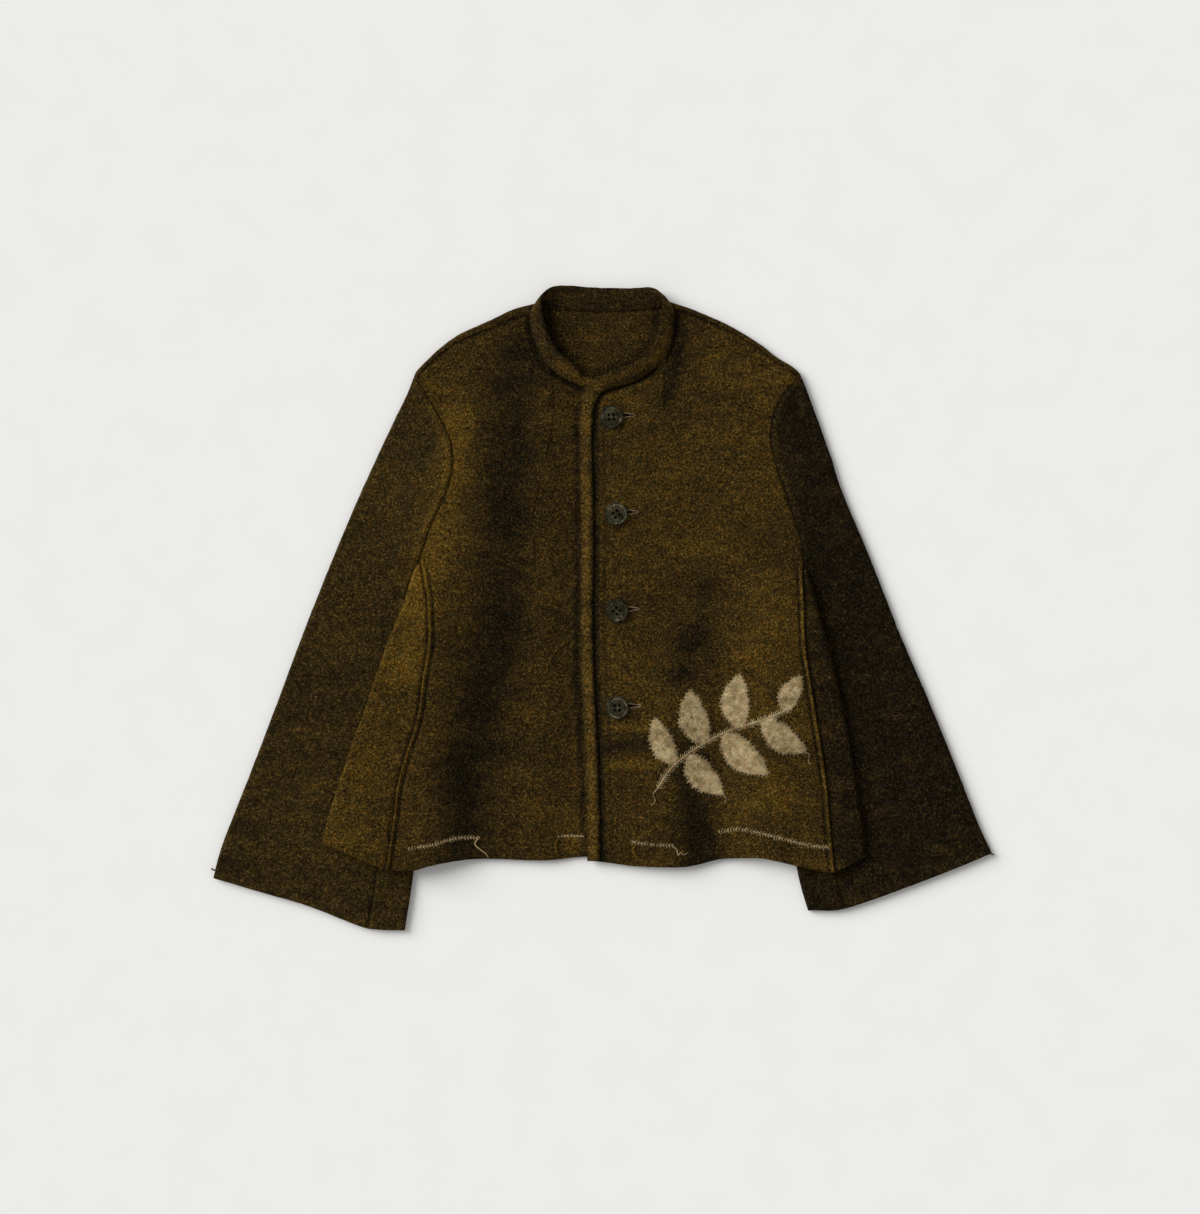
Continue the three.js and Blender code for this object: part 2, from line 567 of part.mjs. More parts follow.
// The shares of the sleeve in which it takes its own fold radius at the outer and inner edges,
// and in which its top comes down from the underarm
const takeUp = { outerFold: 0.1, innerFold: 0.08, innerInset: 0.03, underarm: 0.07 };
function sleevePieces(side, height) {
  const { frontHole, backHole } = sideCurves(side);
  const shoulderEnd = curve(side.shoulder)(1).toArray();
  const outer = curve([shoulderEnd, ...side.sleeveOuter]);
  const inner = curve([side.armhole.at(-1), ...side.sleeveInner]);
  const cuff = curve(side.cuff);
  const rows = [];
  for (let i = 0; i <= armholeSteps; i++) rows.push({ hole: i / armholeSteps, down: 0 });
  for (let i = 1; i <= sleeveSteps; i++) rows.push({ hole: 1, down: (i / sleeveSteps) ** sleeveCrowding });
  const underarm = signed(frontHole(1), side.sign);
  const underarmZ = height(underarm.x, underarm.y);
  const cloth = rows.map(({ hole, down }) => {
    const share = underarmShare * hole + (1 - underarmShare) * down;
    const radius = mix(foldRadius, sleeveFoldRadius, ramp(share, 0, takeUp.outerFold));
    const flatZ = halfWall + 2 * radius;
    const outerFold = share ? movedRight(outer, share, radius + halfWall) : shoulderFold(side, 1);
    const outerWay = outer(share).sub(outerFold).normalize();
    const innerReach = sleeveFoldRadius * ramp(down, 0, takeUp.innerFold);
    const innerInset = innerReach + halfWall * ramp(down, 0, takeUp.innerInset);
    const innerFold = movedRight(inner, down, -innerInset);
    const innerWay = movedRight(inner, down, 1).sub(inner(down));
    const ends = { upper: down ? innerFold : frontHole(hole), lower: down ? innerFold : backHole(hole) };
    const holePlan = signed(ends.upper, side.sign);
    const cameDown = ramp(down, 0, takeUp.underarm);
    const holeZ = down ? mix(underarmZ, flatZ, cameDown) : height(holePlan.x, holePlan.y);
    const width = outerFold.distanceTo(ends.upper);
    const bow = ramp(down, cuffBow, 1);
    const plan = (layer, u) => {
      const wave = cuff(u).sub(cuff(0).lerp(cuff(1), u)).multiplyScalar(bow);
      return outerFold.clone().lerp(ends[layer], u).add(wave);
    };
    const upperPoint = (u) => {
      const lifted = ramp(u, Math.max(0, 1 - liftWidth / width), 1);
      return at(signed(plan("upper", u), side.sign), flatZ + lifted * (holeZ - flatZ));
    };
    const lowerPoint = (u) => at(signed(plan("lower", u), side.sign), halfWall);
    const fold = (middle, away, turn, upper, reach) =>
      foldPoint(signed(middle, side.sign), signed(away, side.sign), turn, upper, halfWall, reach);
    const seamU = down ? 1 - (sleeveSeam * ramp(down, 0, seamDrift)) / width : 1;
    const outerFoldPoints = (turns) => turns.map((t) => fold(outerFold, outerWay, t, flatZ, radius));
    return {
      top: [...outerFoldPoints([...halfTurns].reverse()), ...shares(6).map((t) => upperPoint(seamU * t))],
      lower: [...shares(8).map((t) => lowerPoint(1 - t)), ...outerFoldPoints(halfTurns.map((t) => 1 - t))],
      inner: [
        ...shares(2).map((t) => upperPoint(mix(seamU, 1, t))),
        ...innerTurns.map((t) => fold(innerFold, innerWay, t, holeZ, innerReach)),
      ],
    };
  });
  const turned = side.sign < 0;
  const belowUnderarm = cloth.slice(armholeSteps);
  return {
    top: { grids: [cloth.map((row) => row.top)], turned },
    under: { grids: [cloth.map((row) => row.lower), belowUnderarm.map((row) => row.inner)], turned },
  };
}

// The edge band: a strip swept along its sections, with rounded long edges
const belowGarment = -2;
const bandProfile = [
  [0, 0.5], [0.14, 0.95], [0.5, 1], [0.86, 0.9], [1, 0.4],
  [1, -0.4], [0.86, -0.9], [0.5, -1], [0.14, -0.95], [0, -0.5],
];
function bandRows() {
  const down = frontEdge.map((row) => ({
    base: [row.top + frontEdgeWidth, row.y],
    top: [row.top, row.y],
    baseZ: leftFrontZ(row.top + frontEdgeWidth, row.y) + bandTail,
    topZ: leftFrontZ(row.top, row.y) + bandTail,
  }));
  const all = [...bandSections, ...down];
  const line = (plan, z) =>
    new THREE.CatmullRomCurve3(all.map((row) => new THREE.Vector3(...row[plan], row[z])));
  return { base: line("base", "baseZ"), top: line("top", "topZ"), count: all.length };
}

// The whole band, or one stretch of it let down to below the garment, for cutting a panel's edge
function edgeBand(grow = 0, stretch = null) {
  const { base, top, count } = bandRows();
  const half = bandThickness / 2 + grow;
  const [first, end] = stretch ?? [0, count - 1];
  const rings = shares((end - first) * bandStepsPerSection).map((t) => {
    const s = mix(first, end, t) / (count - 1);
    const along = base.getTangent(s);
    const pastEnd = along.clone().multiplyScalar(grow * (Math.floor(t) - Math.floor(1 - t)));
    const from = base.getPoint(s).add(pastEnd);
    const to = top.getPoint(s).add(pastEnd);
    const across = to.clone().sub(from);
    const width = across.length();
    across.normalize();
    const up = along.clone().cross(across).normalize().negate();
    return bandProfile.map(([w, h]) => {
      const point = from.clone().addScaledVector(across, mix(-grow, width + grow, w));
      point.addScaledVector(up, h * half);
      return stretch && h < 0 ? point.setZ(belowGarment) : point;
    });
  });
  const ringSize = bandProfile.length;
  const points = rings.flat();
  const last = points.length - ringSize;
  const faces = [];
  for (let i = 0; i + 1 < rings.length; i++)
    for (let j = 0; j < ringSize; j++) {
      const [a, b] = [i * ringSize + j, i * ringSize + ((j + 1) % ringSize)];
      faces.push(a, a + ringSize, b, b, a + ringSize, b + ringSize);
    }
  for (let j = 1; j + 1 < ringSize; j++) {
    faces.push(0, j, j + 1);
    faces.push(last, last + j + 1, last + j);
  }
  const geometry = new THREE.BufferGeometry().setFromPoints(points);
  geometry.setIndex(faces);
  if (solidFrom(geometry).volume() < 0) geometry.setIndex(faces.reverse());
  return geometry;
}

// Buttons: a dished disc with a raised rim and four holes, on a stem through the buttonhole.
// The profile runs from the middle of the underside to the middle of the face.
const buttonProfile = [
  [0, 0], [buttonRadius * 0.8, 0], [buttonRadius, 1.3], [buttonRadius, 3],
  [buttonRadius - 1, buttonThickness], [buttonRadius - 2.2, buttonThickness - 0.1],
  [buttonRadius - 3.4, buttonThickness - 0.9], [buttonRadius * 0.45, buttonThickness - 0.5],
  [0, buttonThickness - 0.6],
];
const buttonFaceted = 28;
function button(place) {
  const under = [-1, 0, 1].map((part) => leftFrontZ(place.x + part * buttonRadius, place.y));
  const seatZ = Math.max(...under) + halfWall + buttonClearance;
  const profile = buttonProfile.map(([x, y]) => new THREE.Vector2(x, y));
  const disc = new THREE.LatheGeometry(profile, buttonFaceted).rotateX(Math.PI / 2);
  const floorZ = rightFrontZ(place.x, place.y) + halfWall + buttonClearance - seatZ;
  const stemLength = stemInButton - floorZ;
  const stem = new THREE.CylinderGeometry(shankRadius, shankRadius, stemLength, 12)
    .rotateX(Math.PI / 2)
    .translate(0, slitAbove, floorZ + stemLength / 2);
  let solid = solidFrom(disc).add(solidFrom(stem));
  for (const turn of buttonHoleTurns) {
    const [x, y] = [Math.cos(turn * 2 * Math.PI), Math.sin(turn * 2 * Math.PI)];
    const hole = new THREE.CylinderGeometry(buttonHoleRadius, buttonHoleRadius, buttonThickness, 8)
      .rotateX(Math.PI / 2)
      .translate(buttonHoleSpread * x, buttonHoleSpread * y, buttonHoleFloor + buttonThickness / 2);
    solid = solid.subtract(solidFrom(hole));
  }
  return { geometry: geometryFrom(solid), z: seatZ };
}

// A buttonhole's slit, wide at the button's stem and narrowing to its far end
function slit(place) {
  const shape = new THREE.Shape();
  shape.moveTo(0, slitHalfWidth);
  shape.lineTo(slitEnd.length, slitEnd.halfWidth);
  shape.lineTo(slitEnd.length, -slitEnd.halfWidth);
  shape.lineTo(0, -slitHalfWidth);
  shape.absarc(0, 0, slitHalfWidth, -Math.PI / 2, -Math.PI * 1.5, true);
  const depth = 4 * woolThickness;
  const z = leftFrontZ(place.x, place.y) - depth / 2;
  return new THREE.ExtrudeGeometry(shape, { depth, bevelEnabled: false, curveSegments: 6 }).translate(
    place.x,
    place.y + slitAbove,
    z,
  );
}

// Looks of the solids
const wool = new THREE.MeshStandardMaterial({ color: 0x3a2c16, roughness: 0.95, metalness: 0 });
const darkWool = new THREE.MeshStandardMaterial({ color: 0x2a2013, roughness: 0.95, metalness: 0 });
const bandWool = new THREE.MeshStandardMaterial({ color: 0x443219, roughness: 0.95, metalness: 0 });
const horn = new THREE.MeshStandardMaterial({ color: 0x3a3931, roughness: 0.5, metalness: 0 });

// Panels, with the pieces that each is cut back by where it runs under or into them
const rightSleeve = sleevePieces(sides.right, rightFrontZ);
const leftSleeve = sleevePieces(sides.left, leftFrontZ);
const panels = [
  { name: "back", ...back(), cutters: ["edge_band", "band_on_back"] },
  { name: "front_right", ...rightFront(), cutters: ["edge_band", "band_on_front_right", "back"] },
  { name: "front_left", ...leftFront(), cutters: ["band_on_front_left", "back", "slits"] },
  { name: "side_right", ...sidePanel(sides.right, rightFrontZ), cutters: ["back", "front_right"] },
  { name: "side_left", ...sidePanel(sides.left, leftFrontZ), cutters: ["back", "front_left"] },
];
for (const side of ["right", "left"]) {
  const { top, under } = side === "right" ? rightSleeve : leftSleeve;
  panels.push({ name: "sleeve_top_" + side, ...top, cutters: ["tip_" + side], colour: darkWool });
  const below = ["tip_" + side, "side_" + side, "sleeve_top_" + side];
  panels.push({ name: "sleeve_under_" + side, ...under, cutters: below, colour: darkWool });
}

const jacket = new THREE.Group();
function add(name, geometry, material, place = [0, 0, 0]) {
  const mesh = new THREE.Mesh(geometry, material);
  mesh.name = name;
  mesh.position.set(...place);
  jacket.add(mesh);
}

const normals = new Map();
for (const panel of panels) {
  panel.surface = middleSurface(panel);
  addNormals(panel.surface, normals);
}
const tipOf = (name) => panels.find((panel) => panel.name === name).tip;
const grown = {
  tip_right: [roomRound(tipOf("side_right"))],
  tip_left: [roomRound(tipOf("side_left"))],
  edge_band: [edgeBand(cutGap)],
  slits: buttons.map(slit),
};
for (const [panel, stretch] of Object.entries(bandOn))
  grown["band_on_" + panel] = [edgeBand(cutGap, stretch)];
for (const { name, surface } of panels) grown[name] = [clothWall(surface, normals, new Set(), cutGap)];
for (const { name, surface, raised, cutters, colour } of panels) {
  const wall = clothWall(surface, normals, raised);
  const room = cutters.flatMap((cutter) => grown[cutter]);
  add(name, room.length ? cutBy(wall, room) : wall, colour ?? wool);
}
add("edge_band", edgeBand(), bandWool);
for (const place of buttons) {
  const { geometry, z } = button(place);
  add(place.name, geometry, horn, [place.x, place.y, z]);
}

export default jacket;
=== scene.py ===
import json
import math
import bpy
import numpy as np
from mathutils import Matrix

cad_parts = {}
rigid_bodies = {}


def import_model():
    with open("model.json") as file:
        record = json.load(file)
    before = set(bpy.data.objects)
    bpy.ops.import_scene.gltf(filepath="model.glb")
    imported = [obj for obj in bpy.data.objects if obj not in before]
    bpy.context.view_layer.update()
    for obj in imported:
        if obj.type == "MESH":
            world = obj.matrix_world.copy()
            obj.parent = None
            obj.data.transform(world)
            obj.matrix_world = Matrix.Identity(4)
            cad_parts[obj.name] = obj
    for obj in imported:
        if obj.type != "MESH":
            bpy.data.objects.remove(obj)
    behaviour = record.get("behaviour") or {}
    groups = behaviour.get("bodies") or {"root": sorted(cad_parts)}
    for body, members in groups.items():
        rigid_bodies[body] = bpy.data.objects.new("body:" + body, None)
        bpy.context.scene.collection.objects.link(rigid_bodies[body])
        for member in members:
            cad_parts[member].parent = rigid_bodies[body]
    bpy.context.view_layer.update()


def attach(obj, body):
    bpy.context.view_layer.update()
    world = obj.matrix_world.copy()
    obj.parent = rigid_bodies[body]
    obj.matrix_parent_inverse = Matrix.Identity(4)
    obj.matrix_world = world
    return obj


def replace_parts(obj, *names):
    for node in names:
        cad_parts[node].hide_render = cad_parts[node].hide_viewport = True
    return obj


for leftover in list(bpy.data.objects):
    bpy.data.objects.remove(leftover)
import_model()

# Sizes are in millimetres until a mesh is made. X runs to the wearer's left, Y up the jacket.
mm = 0.001
wool = {"thickness": 2.6, "fold": 2.9, "sleeveFold": 2.6, "overSleeve": 8.2}
half = wool["thickness"] / 2
topOfFold = half + 2 * wool["fold"]
overlap = {"rise": 0.3, "drop": 2.8, "edge": 38}

# Plan outlines of the two sides, x counted outwards from the centre
sides = {
    "right": {
        "sign": -1,
        "rollOver": 7,
        "shoulder": [(69, 313.4), (74, 312), (92, 307), (119, 294.5), (146, 282), (164, 270), (178, 257.5),
                     (190, 245), (194.5, 237)],
        "armhole": [(177, 213), (164.5, 191), (156, 172), (153, 152), (156, 132), (163, 111), (173, 91),
                    (181, 70), (187.5, 48.5)],
        "backArmhole": [(180, 205), (173, 175), (170, 145), (172, 115), (178, 80), (187.5, 48.5)],
        "sleeveOuter": [(201, 220), (219, 183), (253, 109), (284, 35), (313, -39), (340.5, -113),
                        (369, -187), (391, -243), (400.5, -278)],
        "cuff": [(400.5, -278), (351, -292.5), (301, -307), (252, -326), (232, -331), (203.5, -332)],
        "sleeveInner": [(188.5, 48), (190, 39), (192.5, 27), (195, 10), (197, -10), (197, -40),
                        (195.5, -75), (190, -140), (190, -210), (195, -275), (203.5, -332)],
        "seam": [(187.5, 48.5), (184, 34), (179.5, 6), (179, -37), (185, -75), (190, -112), (201, -147),
                 (210.5, -182), (215.5, -222), (222.5, -269)],
        "edge": [(189.4, 47.4), (194.6, 37), (205, 3), (221, -36), (235, -76), (247, -112), (259.5, -146),
                 (270.5, -180), (282, -216), (288.5, -243)],
        "backSeam": [(187.5, 48.5), (184.5, 34), (181, 6), (183, -37), (189, -75), (195, -112), (202, -147),
                     (209, -182), (215, -222), (220, -262)],
        "hem": [(20, -256), (48, -259), (74, -259.5), (117, -258), (147, -259.5), (176, -264.5),
                (195, -269.5), (222.5, -269)],
    },
    "left": {
        "sign": 1,
        "rollOver": 2.2,
        "shoulder": [(69, 315), (75.5, 313), (93, 307), (122, 294.5), (145, 282), (164, 270), (180, 257.5),
                     (199, 245.5), (205, 237)],
        "armhole": [(188, 222), (176, 199), (173, 172), (178, 146), (187, 120), (196, 94), (204, 68),
                    (206.5, 46)],
        "backArmhole": [(191, 210), (186, 180), (185, 150), (188, 115), (196, 80), (206.5, 46)],
        "sleeveOuter": [(212, 219), (234, 158.5), (246, 121.5), (277, 47), (306, -27), (338, -101),
                        (368, -175), (388, -225), (400.5, -252)],
        "cuff": [(400.5, -252), (366, -266.5), (317, -285.5), (267.5, -303.5), (239, -311.5), (211.5, -312)],
        "sleeveInner": [(207, 45.5), (208, 37), (209, 24), (210, 8), (210, -12), (208, -40), (205, -75),
                        (197.5, -140), (195, -210), (200, -268), (211.5, -312)],
        "seam": [(206.5, 46), (205.5, 32), (206.8, 6), (208.5, -37), (214, -76), (220.5, -116), (226, -150),
                 (231, -187), (234, -225), (238.5, -272)],
        "edge": [(208.2, 45), (212, 34), (220, 4), (231.5, -37), (241, -75), (249, -113), (255.5, -148),
                 (260.5, -184), (266, -220), (270, -257)],
        "backSeam": [(206.5, 46), (205, 32), (204, 6), (202, -37), (205, -75), (208, -113), (211, -148),
                     (214, -184), (218, -221), (223, -262)],
        "hem": [(-6.6, -260.5), (6, -262), (34, -265.5), (78, -266.5), (98, -264), (121, -258.5),
                (145, -257), (162, -257), (179, -260), (201, -265.5), (222.5, -270), (238.5, -272)],
    },
}

# The band round the neck: base x, y, z where it is sewn on, then its free edge x, y, z
neckBand = [
    (-8, 226, 6.1, -10, 237, 7), (-21, 228, 6.4, -20, 239, 9), (-34, 234, 7.6, -29, 250, 14),
    (-48, 242, 8.2, -42, 259, 18), (-61, 256, 8.4, -52, 272, 19.5), (-70, 275, 8.4, -58, 286, 20),
    (-74, 292, 8, -62, 302, 19.5), (-72, 305, 6, -63, 318, 17.5), (-60, 308, 3.6, -54, 328, 13),
    (-40, 306.5, 2.4, -38, 330.5, 8.5), (-5, 305, 2.4, -5, 328.5, 7), (26, 305.5, 2.4, 26, 328, 7.5),
    (52, 308.5, 3.2, 50, 328.5, 11), (69, 309, 6, 60, 322, 16), (74, 298, 8, 62, 312, 19),
    (72.5, 279, 8.4, 59, 285, 20), (64, 258, 8.6, 49, 263, 19.5), (48, 242, 8.8, 34, 252, 18.5),
    (32, 233, 9, 16, 243, 16.5), (15, 227.5, 9.4, -3, 237, 15), (1, 223, 10, -15, 230.5, 13.2),
    (-6, 215, 9.2, -20.5, 220, 10.6), (-9, 203, 8.6, -22.5, 205, 8.9),
]
frontEdge = [(170, -24), (115, -22.6), (60, -22), (10, -23), (-45, -22.6), (-95, -20.5), (-150, -17.5),
             (-205, -16), (-260, -15.5)]
bandSizes = {"width": 13, "thickness": 5, "overWool": 0.85, "perSection": 16}

# Soft folds of the fronts: a line down the cloth, height, reach to each side, and where it grows
folds = [
    {"line": [(-178, -260), (-160, 140)], "height": 0.8, "reach": (30, 30), "grows": (110, -60)},
    {"line": [(-70, -260), (-72, 140)], "height": -0.9, "reach": (26, 26), "grows": (150, 0)},
    {"line": [(64, -260), (78, 140)], "height": 1.6, "reach": (30, 30), "grows": (20, -180)},
    {"line": [(120, -260), (110, 140)], "height": -0.9, "reach": (22, 22), "grows": (60, -160)},
    {"line": [(-178, -260), (-158, -157), (-139, -95), (-128, -33), (-124, 29), (-124, 240)],
     "height": 3.4, "reach": (34, 30), "grows": (262, 190)},
    {"line": [(-62, -260), (-60, -120), (-58, 240)], "height": 1.4, "reach": (16, 18), "grows": (230, 120)},
    {"line": [(70, -260), (74, 20)], "height": 2.8, "reach": (34, 26), "grows": (0, -150)},
    {"line": [(168, -260), (160, 60)], "height": 1.6, "reach": (28, 26), "grows": (-20, -160)},
]


def smooth(t):
    t = np.clip(t, 0, 1)
    return t * t * (3 - 2 * t)


def mix(a, b, t):
    return a + (b - a) * t


def ramp(value, start, end):
    return smooth((value - start) / (end - start))


def steps(count):
    return np.linspace(0, 1, count + 1)


# Height 1 in the middle, falling off to both sides
def bell(distance, width):
    return np.exp(-((distance / width) ** 2))


# Adds ridges and grooves beside a line to a relief. Each row: distance from it, width, height
def ridged(distance, rows, lift=0.0):
    for at, width, height in rows:
        lift = lift + height * bell(distance - at, width)
    return lift


# A cubic from a to b that leaves and arrives along its neighbours
def cubic(before, a, b, after, t):
    leave, arrive = (b - before) / 2, (after - a) / 2
    return ((2 * a - 2 * b + leave + arrive) * t**3 + (3 * b - 3 * a - 2 * leave - arrive) * t**2
            + leave * t + a)


# A smooth line through points, asked for by its share of the length
def curve(points):
    pts = np.array(points, float)
    near = np.vstack([pts[:1], pts, pts[-1:]])
    t = np.linspace(0, 1, 33)[:-1, None]
    parts = []
    for i in range(len(pts) - 1):
        parts.append(cubic(*near[i:i + 4], t))
    line = np.vstack(parts + [pts[-1:]])
    run = np.concatenate([[0], np.cumsum(np.linalg.norm(np.diff(line, axis=0), axis=1))])
    share = run / run[-1]

    def point(s):
        return np.stack([np.interp(s, share, line[:, k]) for k in range(line.shape[1])], -1)
    point.length = run[-1]
    return point


def joined(first, second):
    cut = first.length / (first.length + second.length)

    def point(s):
        s = np.asarray(s, float)
        early = first(np.clip(s / cut, 0, 1))
        late = second(np.clip((s - cut) / (1 - cut), 0, 1))
        return np.where((s <= cut)[..., None], early, late)
    point.length = first.length + second.length
    return point


def signed(points, sign):
    return np.asarray(points) * np.array([sign, 1.0])


# A point of a line moved square to it, to the right of the way it runs
def movedRight(line, s, distance):
    s = np.asarray(s, float)
    along = line(np.minimum(1, s + 0.02)) - line(np.maximum(0, s - 0.02))
    along /= np.linalg.norm(along, axis=-1, keepdims=True)
    return line(s) + np.stack([along[..., 1], -along[..., 0]], -1) * np.asarray(distance)[..., None]


def unit(v):
    return v / np.maximum(np.linalg.norm(v, axis=-1, keepdims=True), 1e-9)


# Plan points inside four outlines: top and bottom run with u, start and end with v
def between(top, bottom, start, end, u, v):
    t, b, s, e = top(u), bottom(u), start(v), end(v)
    uu, vv = u[None, :, None], v[:, None, None]
    corners = (1 - uu) * (1 - vv) * t[0] + uu * (1 - vv) * t[-1] + (1 - uu) * vv * b[0] + uu * vv * b[-1]
    return (1 - vv) * t[None] + vv * b[None] + (1 - uu) * s[:, None] + uu * e[:, None] - corners


# Smooth random heights from -1 to 1, the same every run
def noise(points, size, seed):
    table = np.random.default_rng(seed).random((32, 32, 32)) * 2 - 1
    p = np.asarray(points, float) / size + 97.3
    cell = np.floor(p).astype(int)
    f = smooth(p - cell)
    total = 0
    for corner in range(8):
        bits = np.array([corner & 1, corner >> 1 & 1, corner >> 2 & 1])
        at = (cell + bits) % 32
        weight = np.prod(np.where(bits, f, 1 - f), axis=-1)
        total = total + table[at[..., 0], at[..., 1], at[..., 2]] * weight
    return total


# Distance of plan points from a line
def distanceTo(line, points, samples=160):
    path = line(steps(samples))
    flat = points.reshape(-1, 2)
    nearest = np.empty(len(flat))
    for i in range(0, len(flat), 20000):
        part = flat[i:i + 20000, None, :]
        a, b = path[None, :-1], path[None, 1:]
        t = np.clip(((part - a) * (b - a)).sum(-1) / ((b - a) ** 2).sum(-1), 0, 1)[..., None]
        nearest[i:i + 20000] = np.linalg.norm(part - a - (b - a) * t, axis=-1).min(1)
    return nearest.reshape(points.shape[:-1])


def lowerZ(p):
    return half + wool["overSleeve"] * ramp(abs(p[..., 0]), 118, 182) * ramp(p[..., 1], 47, 22)


def upperRise(p):
    x, y = p[..., 0], p[..., 1]
    armhole = 3 * ramp(abs(x), 76, 165) * ramp(y, 237, 150) * ramp(y, -150, 20)
    total = armhole + lowerZ(p) - half
    for fold in folds:
        line = np.array(sorted(fold["line"], key=lambda q: q[1]), float)
        middle = np.interp(y, line[:, 1], line[:, 0])
        reach = np.where(x < middle, *fold["reach"])
        total = total + fold["height"] * ramp(y, *fold["grows"]) * bell(x - middle, reach)
    return total


def rightFrontZ(p):
    return topOfFold - overlap["drop"] * ramp(p[..., 0], -62, -27) + upperRise(p)


def leftFrontZ(p):
    return topOfFold + overlap["rise"] * (1 - ramp(p[..., 0], 60, 110)) + upperRise(p)


def raised(plan, z):
    return np.concatenate([plan, np.broadcast_to(z, plan.shape[:-1])[..., None]], -1)


def shoulderFold(side, s):
    return movedRight(curve(side["shoulder"]), s, np.full(np.shape(s), wool["fold"] + half))


def shoulderSeam(side, s):
    s = np.asarray(s, float)
    return movedRight(curve(side["shoulder"]), s, wool["fold"] + half + side["rollOver"] * (1 - s))


# Seams and armholes of one side
def sideCurves(side):
    return {
        "seam": curve(side["seam"]), "edge": curve(side["edge"]), "backSeam": curve(side["backSeam"]),
        "frontHole": curve([shoulderSeam(side, 1.0), *side["armhole"]]),
        "backHole": curve([shoulderFold(side, 1.0), *side["backArmhole"]]),
    }


# Half a fold's arc in the plan's direction "away", from the upper layer down to the lower one
def foldPoint(plan, away, turn, upper, lower, reach):
    z = (upper + lower) / 2 + (upper - lower) / 2 * math.cos(math.pi * turn)
    return raised(plan + away * (np.asarray(reach) * math.sin(math.pi * turn))[..., None], z)


# Closed cloth from grids of middle points: rounded raw edges, relief on its outer face, and
# a little unevenness, as felted wool has
def clothPiece(name, grids, turned, relief=None, inset=0.15, crumb=0.16, dyeAndShading=0.0):
    points, quads, lift = [], [], []
    start = 0
    for k, grid in enumerate(grids):
        rows, cols = grid.shape[:2]
        index = np.arange(rows * cols).reshape(rows, cols) + start
        a, b, c, d = index[:-1, :-1], index[:-1, 1:], index[1:, 1:], index[1:, :-1]
        quads.append(np.stack([a, d, c, b] if turned else [a, b, c, d], -1).reshape(-1, 4))
        points.append(grid.reshape(-1, 3))
        lift.append(relief[k].reshape(-1) if relief is not None else np.zeros(rows * cols))
        start += rows * cols
    points, quads, lift = np.vstack(points), np.vstack(quads), np.concatenate(lift)
    _, first, same = np.unique(np.round(points, 2), axis=0, return_index=True, return_inverse=True)
    points, lift, quads = points[first], lift[first], same.reshape(-1)[quads]
    tris = np.vstack([quads[:, [0, 1, 2]], quads[:, [0, 2, 3]]])
    tris = tris[(tris[:, 0] != tris[:, 1]) & (tris[:, 1] != tris[:, 2]) & (tris[:, 2] != tris[:, 0])]
    faceNormal = np.cross(points[tris[:, 1]] - points[tris[:, 0]], points[tris[:, 2]] - points[tris[:, 0]])
    normal = np.zeros_like(points)
    for e in range(3):
        np.add.at(normal, tris[:, e], faceNormal)
    normal = unit(normal)
    edges = np.vstack([tris[:, [0, 1]], tris[:, [1, 2]], tris[:, [2, 0]]])
    codes = edges[:, 0] * len(points) + edges[:, 1]
    back = edges[:, 1] * len(points) + edges[:, 0]
    rim = edges[~np.isin(codes, back)]
    outward = np.zeros_like(points)
    way = unit(points[rim[:, 1]] - points[rim[:, 0]])
    side = np.cross(way, normal[rim[:, 0]])
    for e in range(2):
        np.add.at(outward, rim[:, e], side)
    onRim = np.zeros(len(points), bool)
    onRim[rim] = True
    outward = unit(outward)
    ragged = 0.35 * noise(points, 3.5, 5)[:, None] + 0.25 * noise(points, 9, 6)[:, None]
    base = points - outward * onRim[:, None] * (inset - 0.4 * ragged)
    flatDown = np.clip(-normal[:, 2], 0, 1)
    rough = crumb * (noise(points, 2.7, 11) + 0.8 * noise(points, 6, 12) + 1.3 * noise(points, 17, 13))
    drawn = outward * onRim[:, None] * 0.75
    outer = base + normal * (half + lift + rough * (1 - flatDown))[:, None] - drawn
    inner = base - normal * (half - 0.4 * rough * (1 - np.clip(normal[:, 2], 0, 1)))[:, None] - drawn
    ids = np.unique(rim)
    where = np.full(len(points), -1)
    where[ids] = np.arange(len(ids))
    layers = [outer, inner]
    for depth, height in ((0.22, 0.62), (0, 0), (0.22, -0.62)):
        layers.append(base[ids] - outward[ids] * depth + normal[ids] * (half * height))
    count = len(points)
    ring = [lambda i: i] + [lambda i, k=k: 2 * count + k * len(ids) + where[i] for k in range(3)]
    ring.append(lambda i: i + count)
    faces = [tris, tris[:, ::-1] + count]
    a, b = rim[:, 0], rim[:, 1]
    for high, low in zip(ring[:-1], ring[1:]):
        faces.append(np.stack([high(b), high(a), low(a)], -1))
        faces.append(np.stack([high(b), low(a), low(b)], -1))
    verts = np.vstack(layers)
    verts[:, 2] = np.maximum(verts[:, 2], 0.02)
    piece = meshPiece(name, verts, np.vstack(faces))
    # Painted shade in the relief's grooves and painted light on its ridges, added to the dye tone
    shade = np.concatenate([lift, np.zeros(len(verts) - count)])
    addDyeAndShading(piece, dyeAndShading + np.where(shade < 0, 0.42, 0.14) * shade)
    return piece


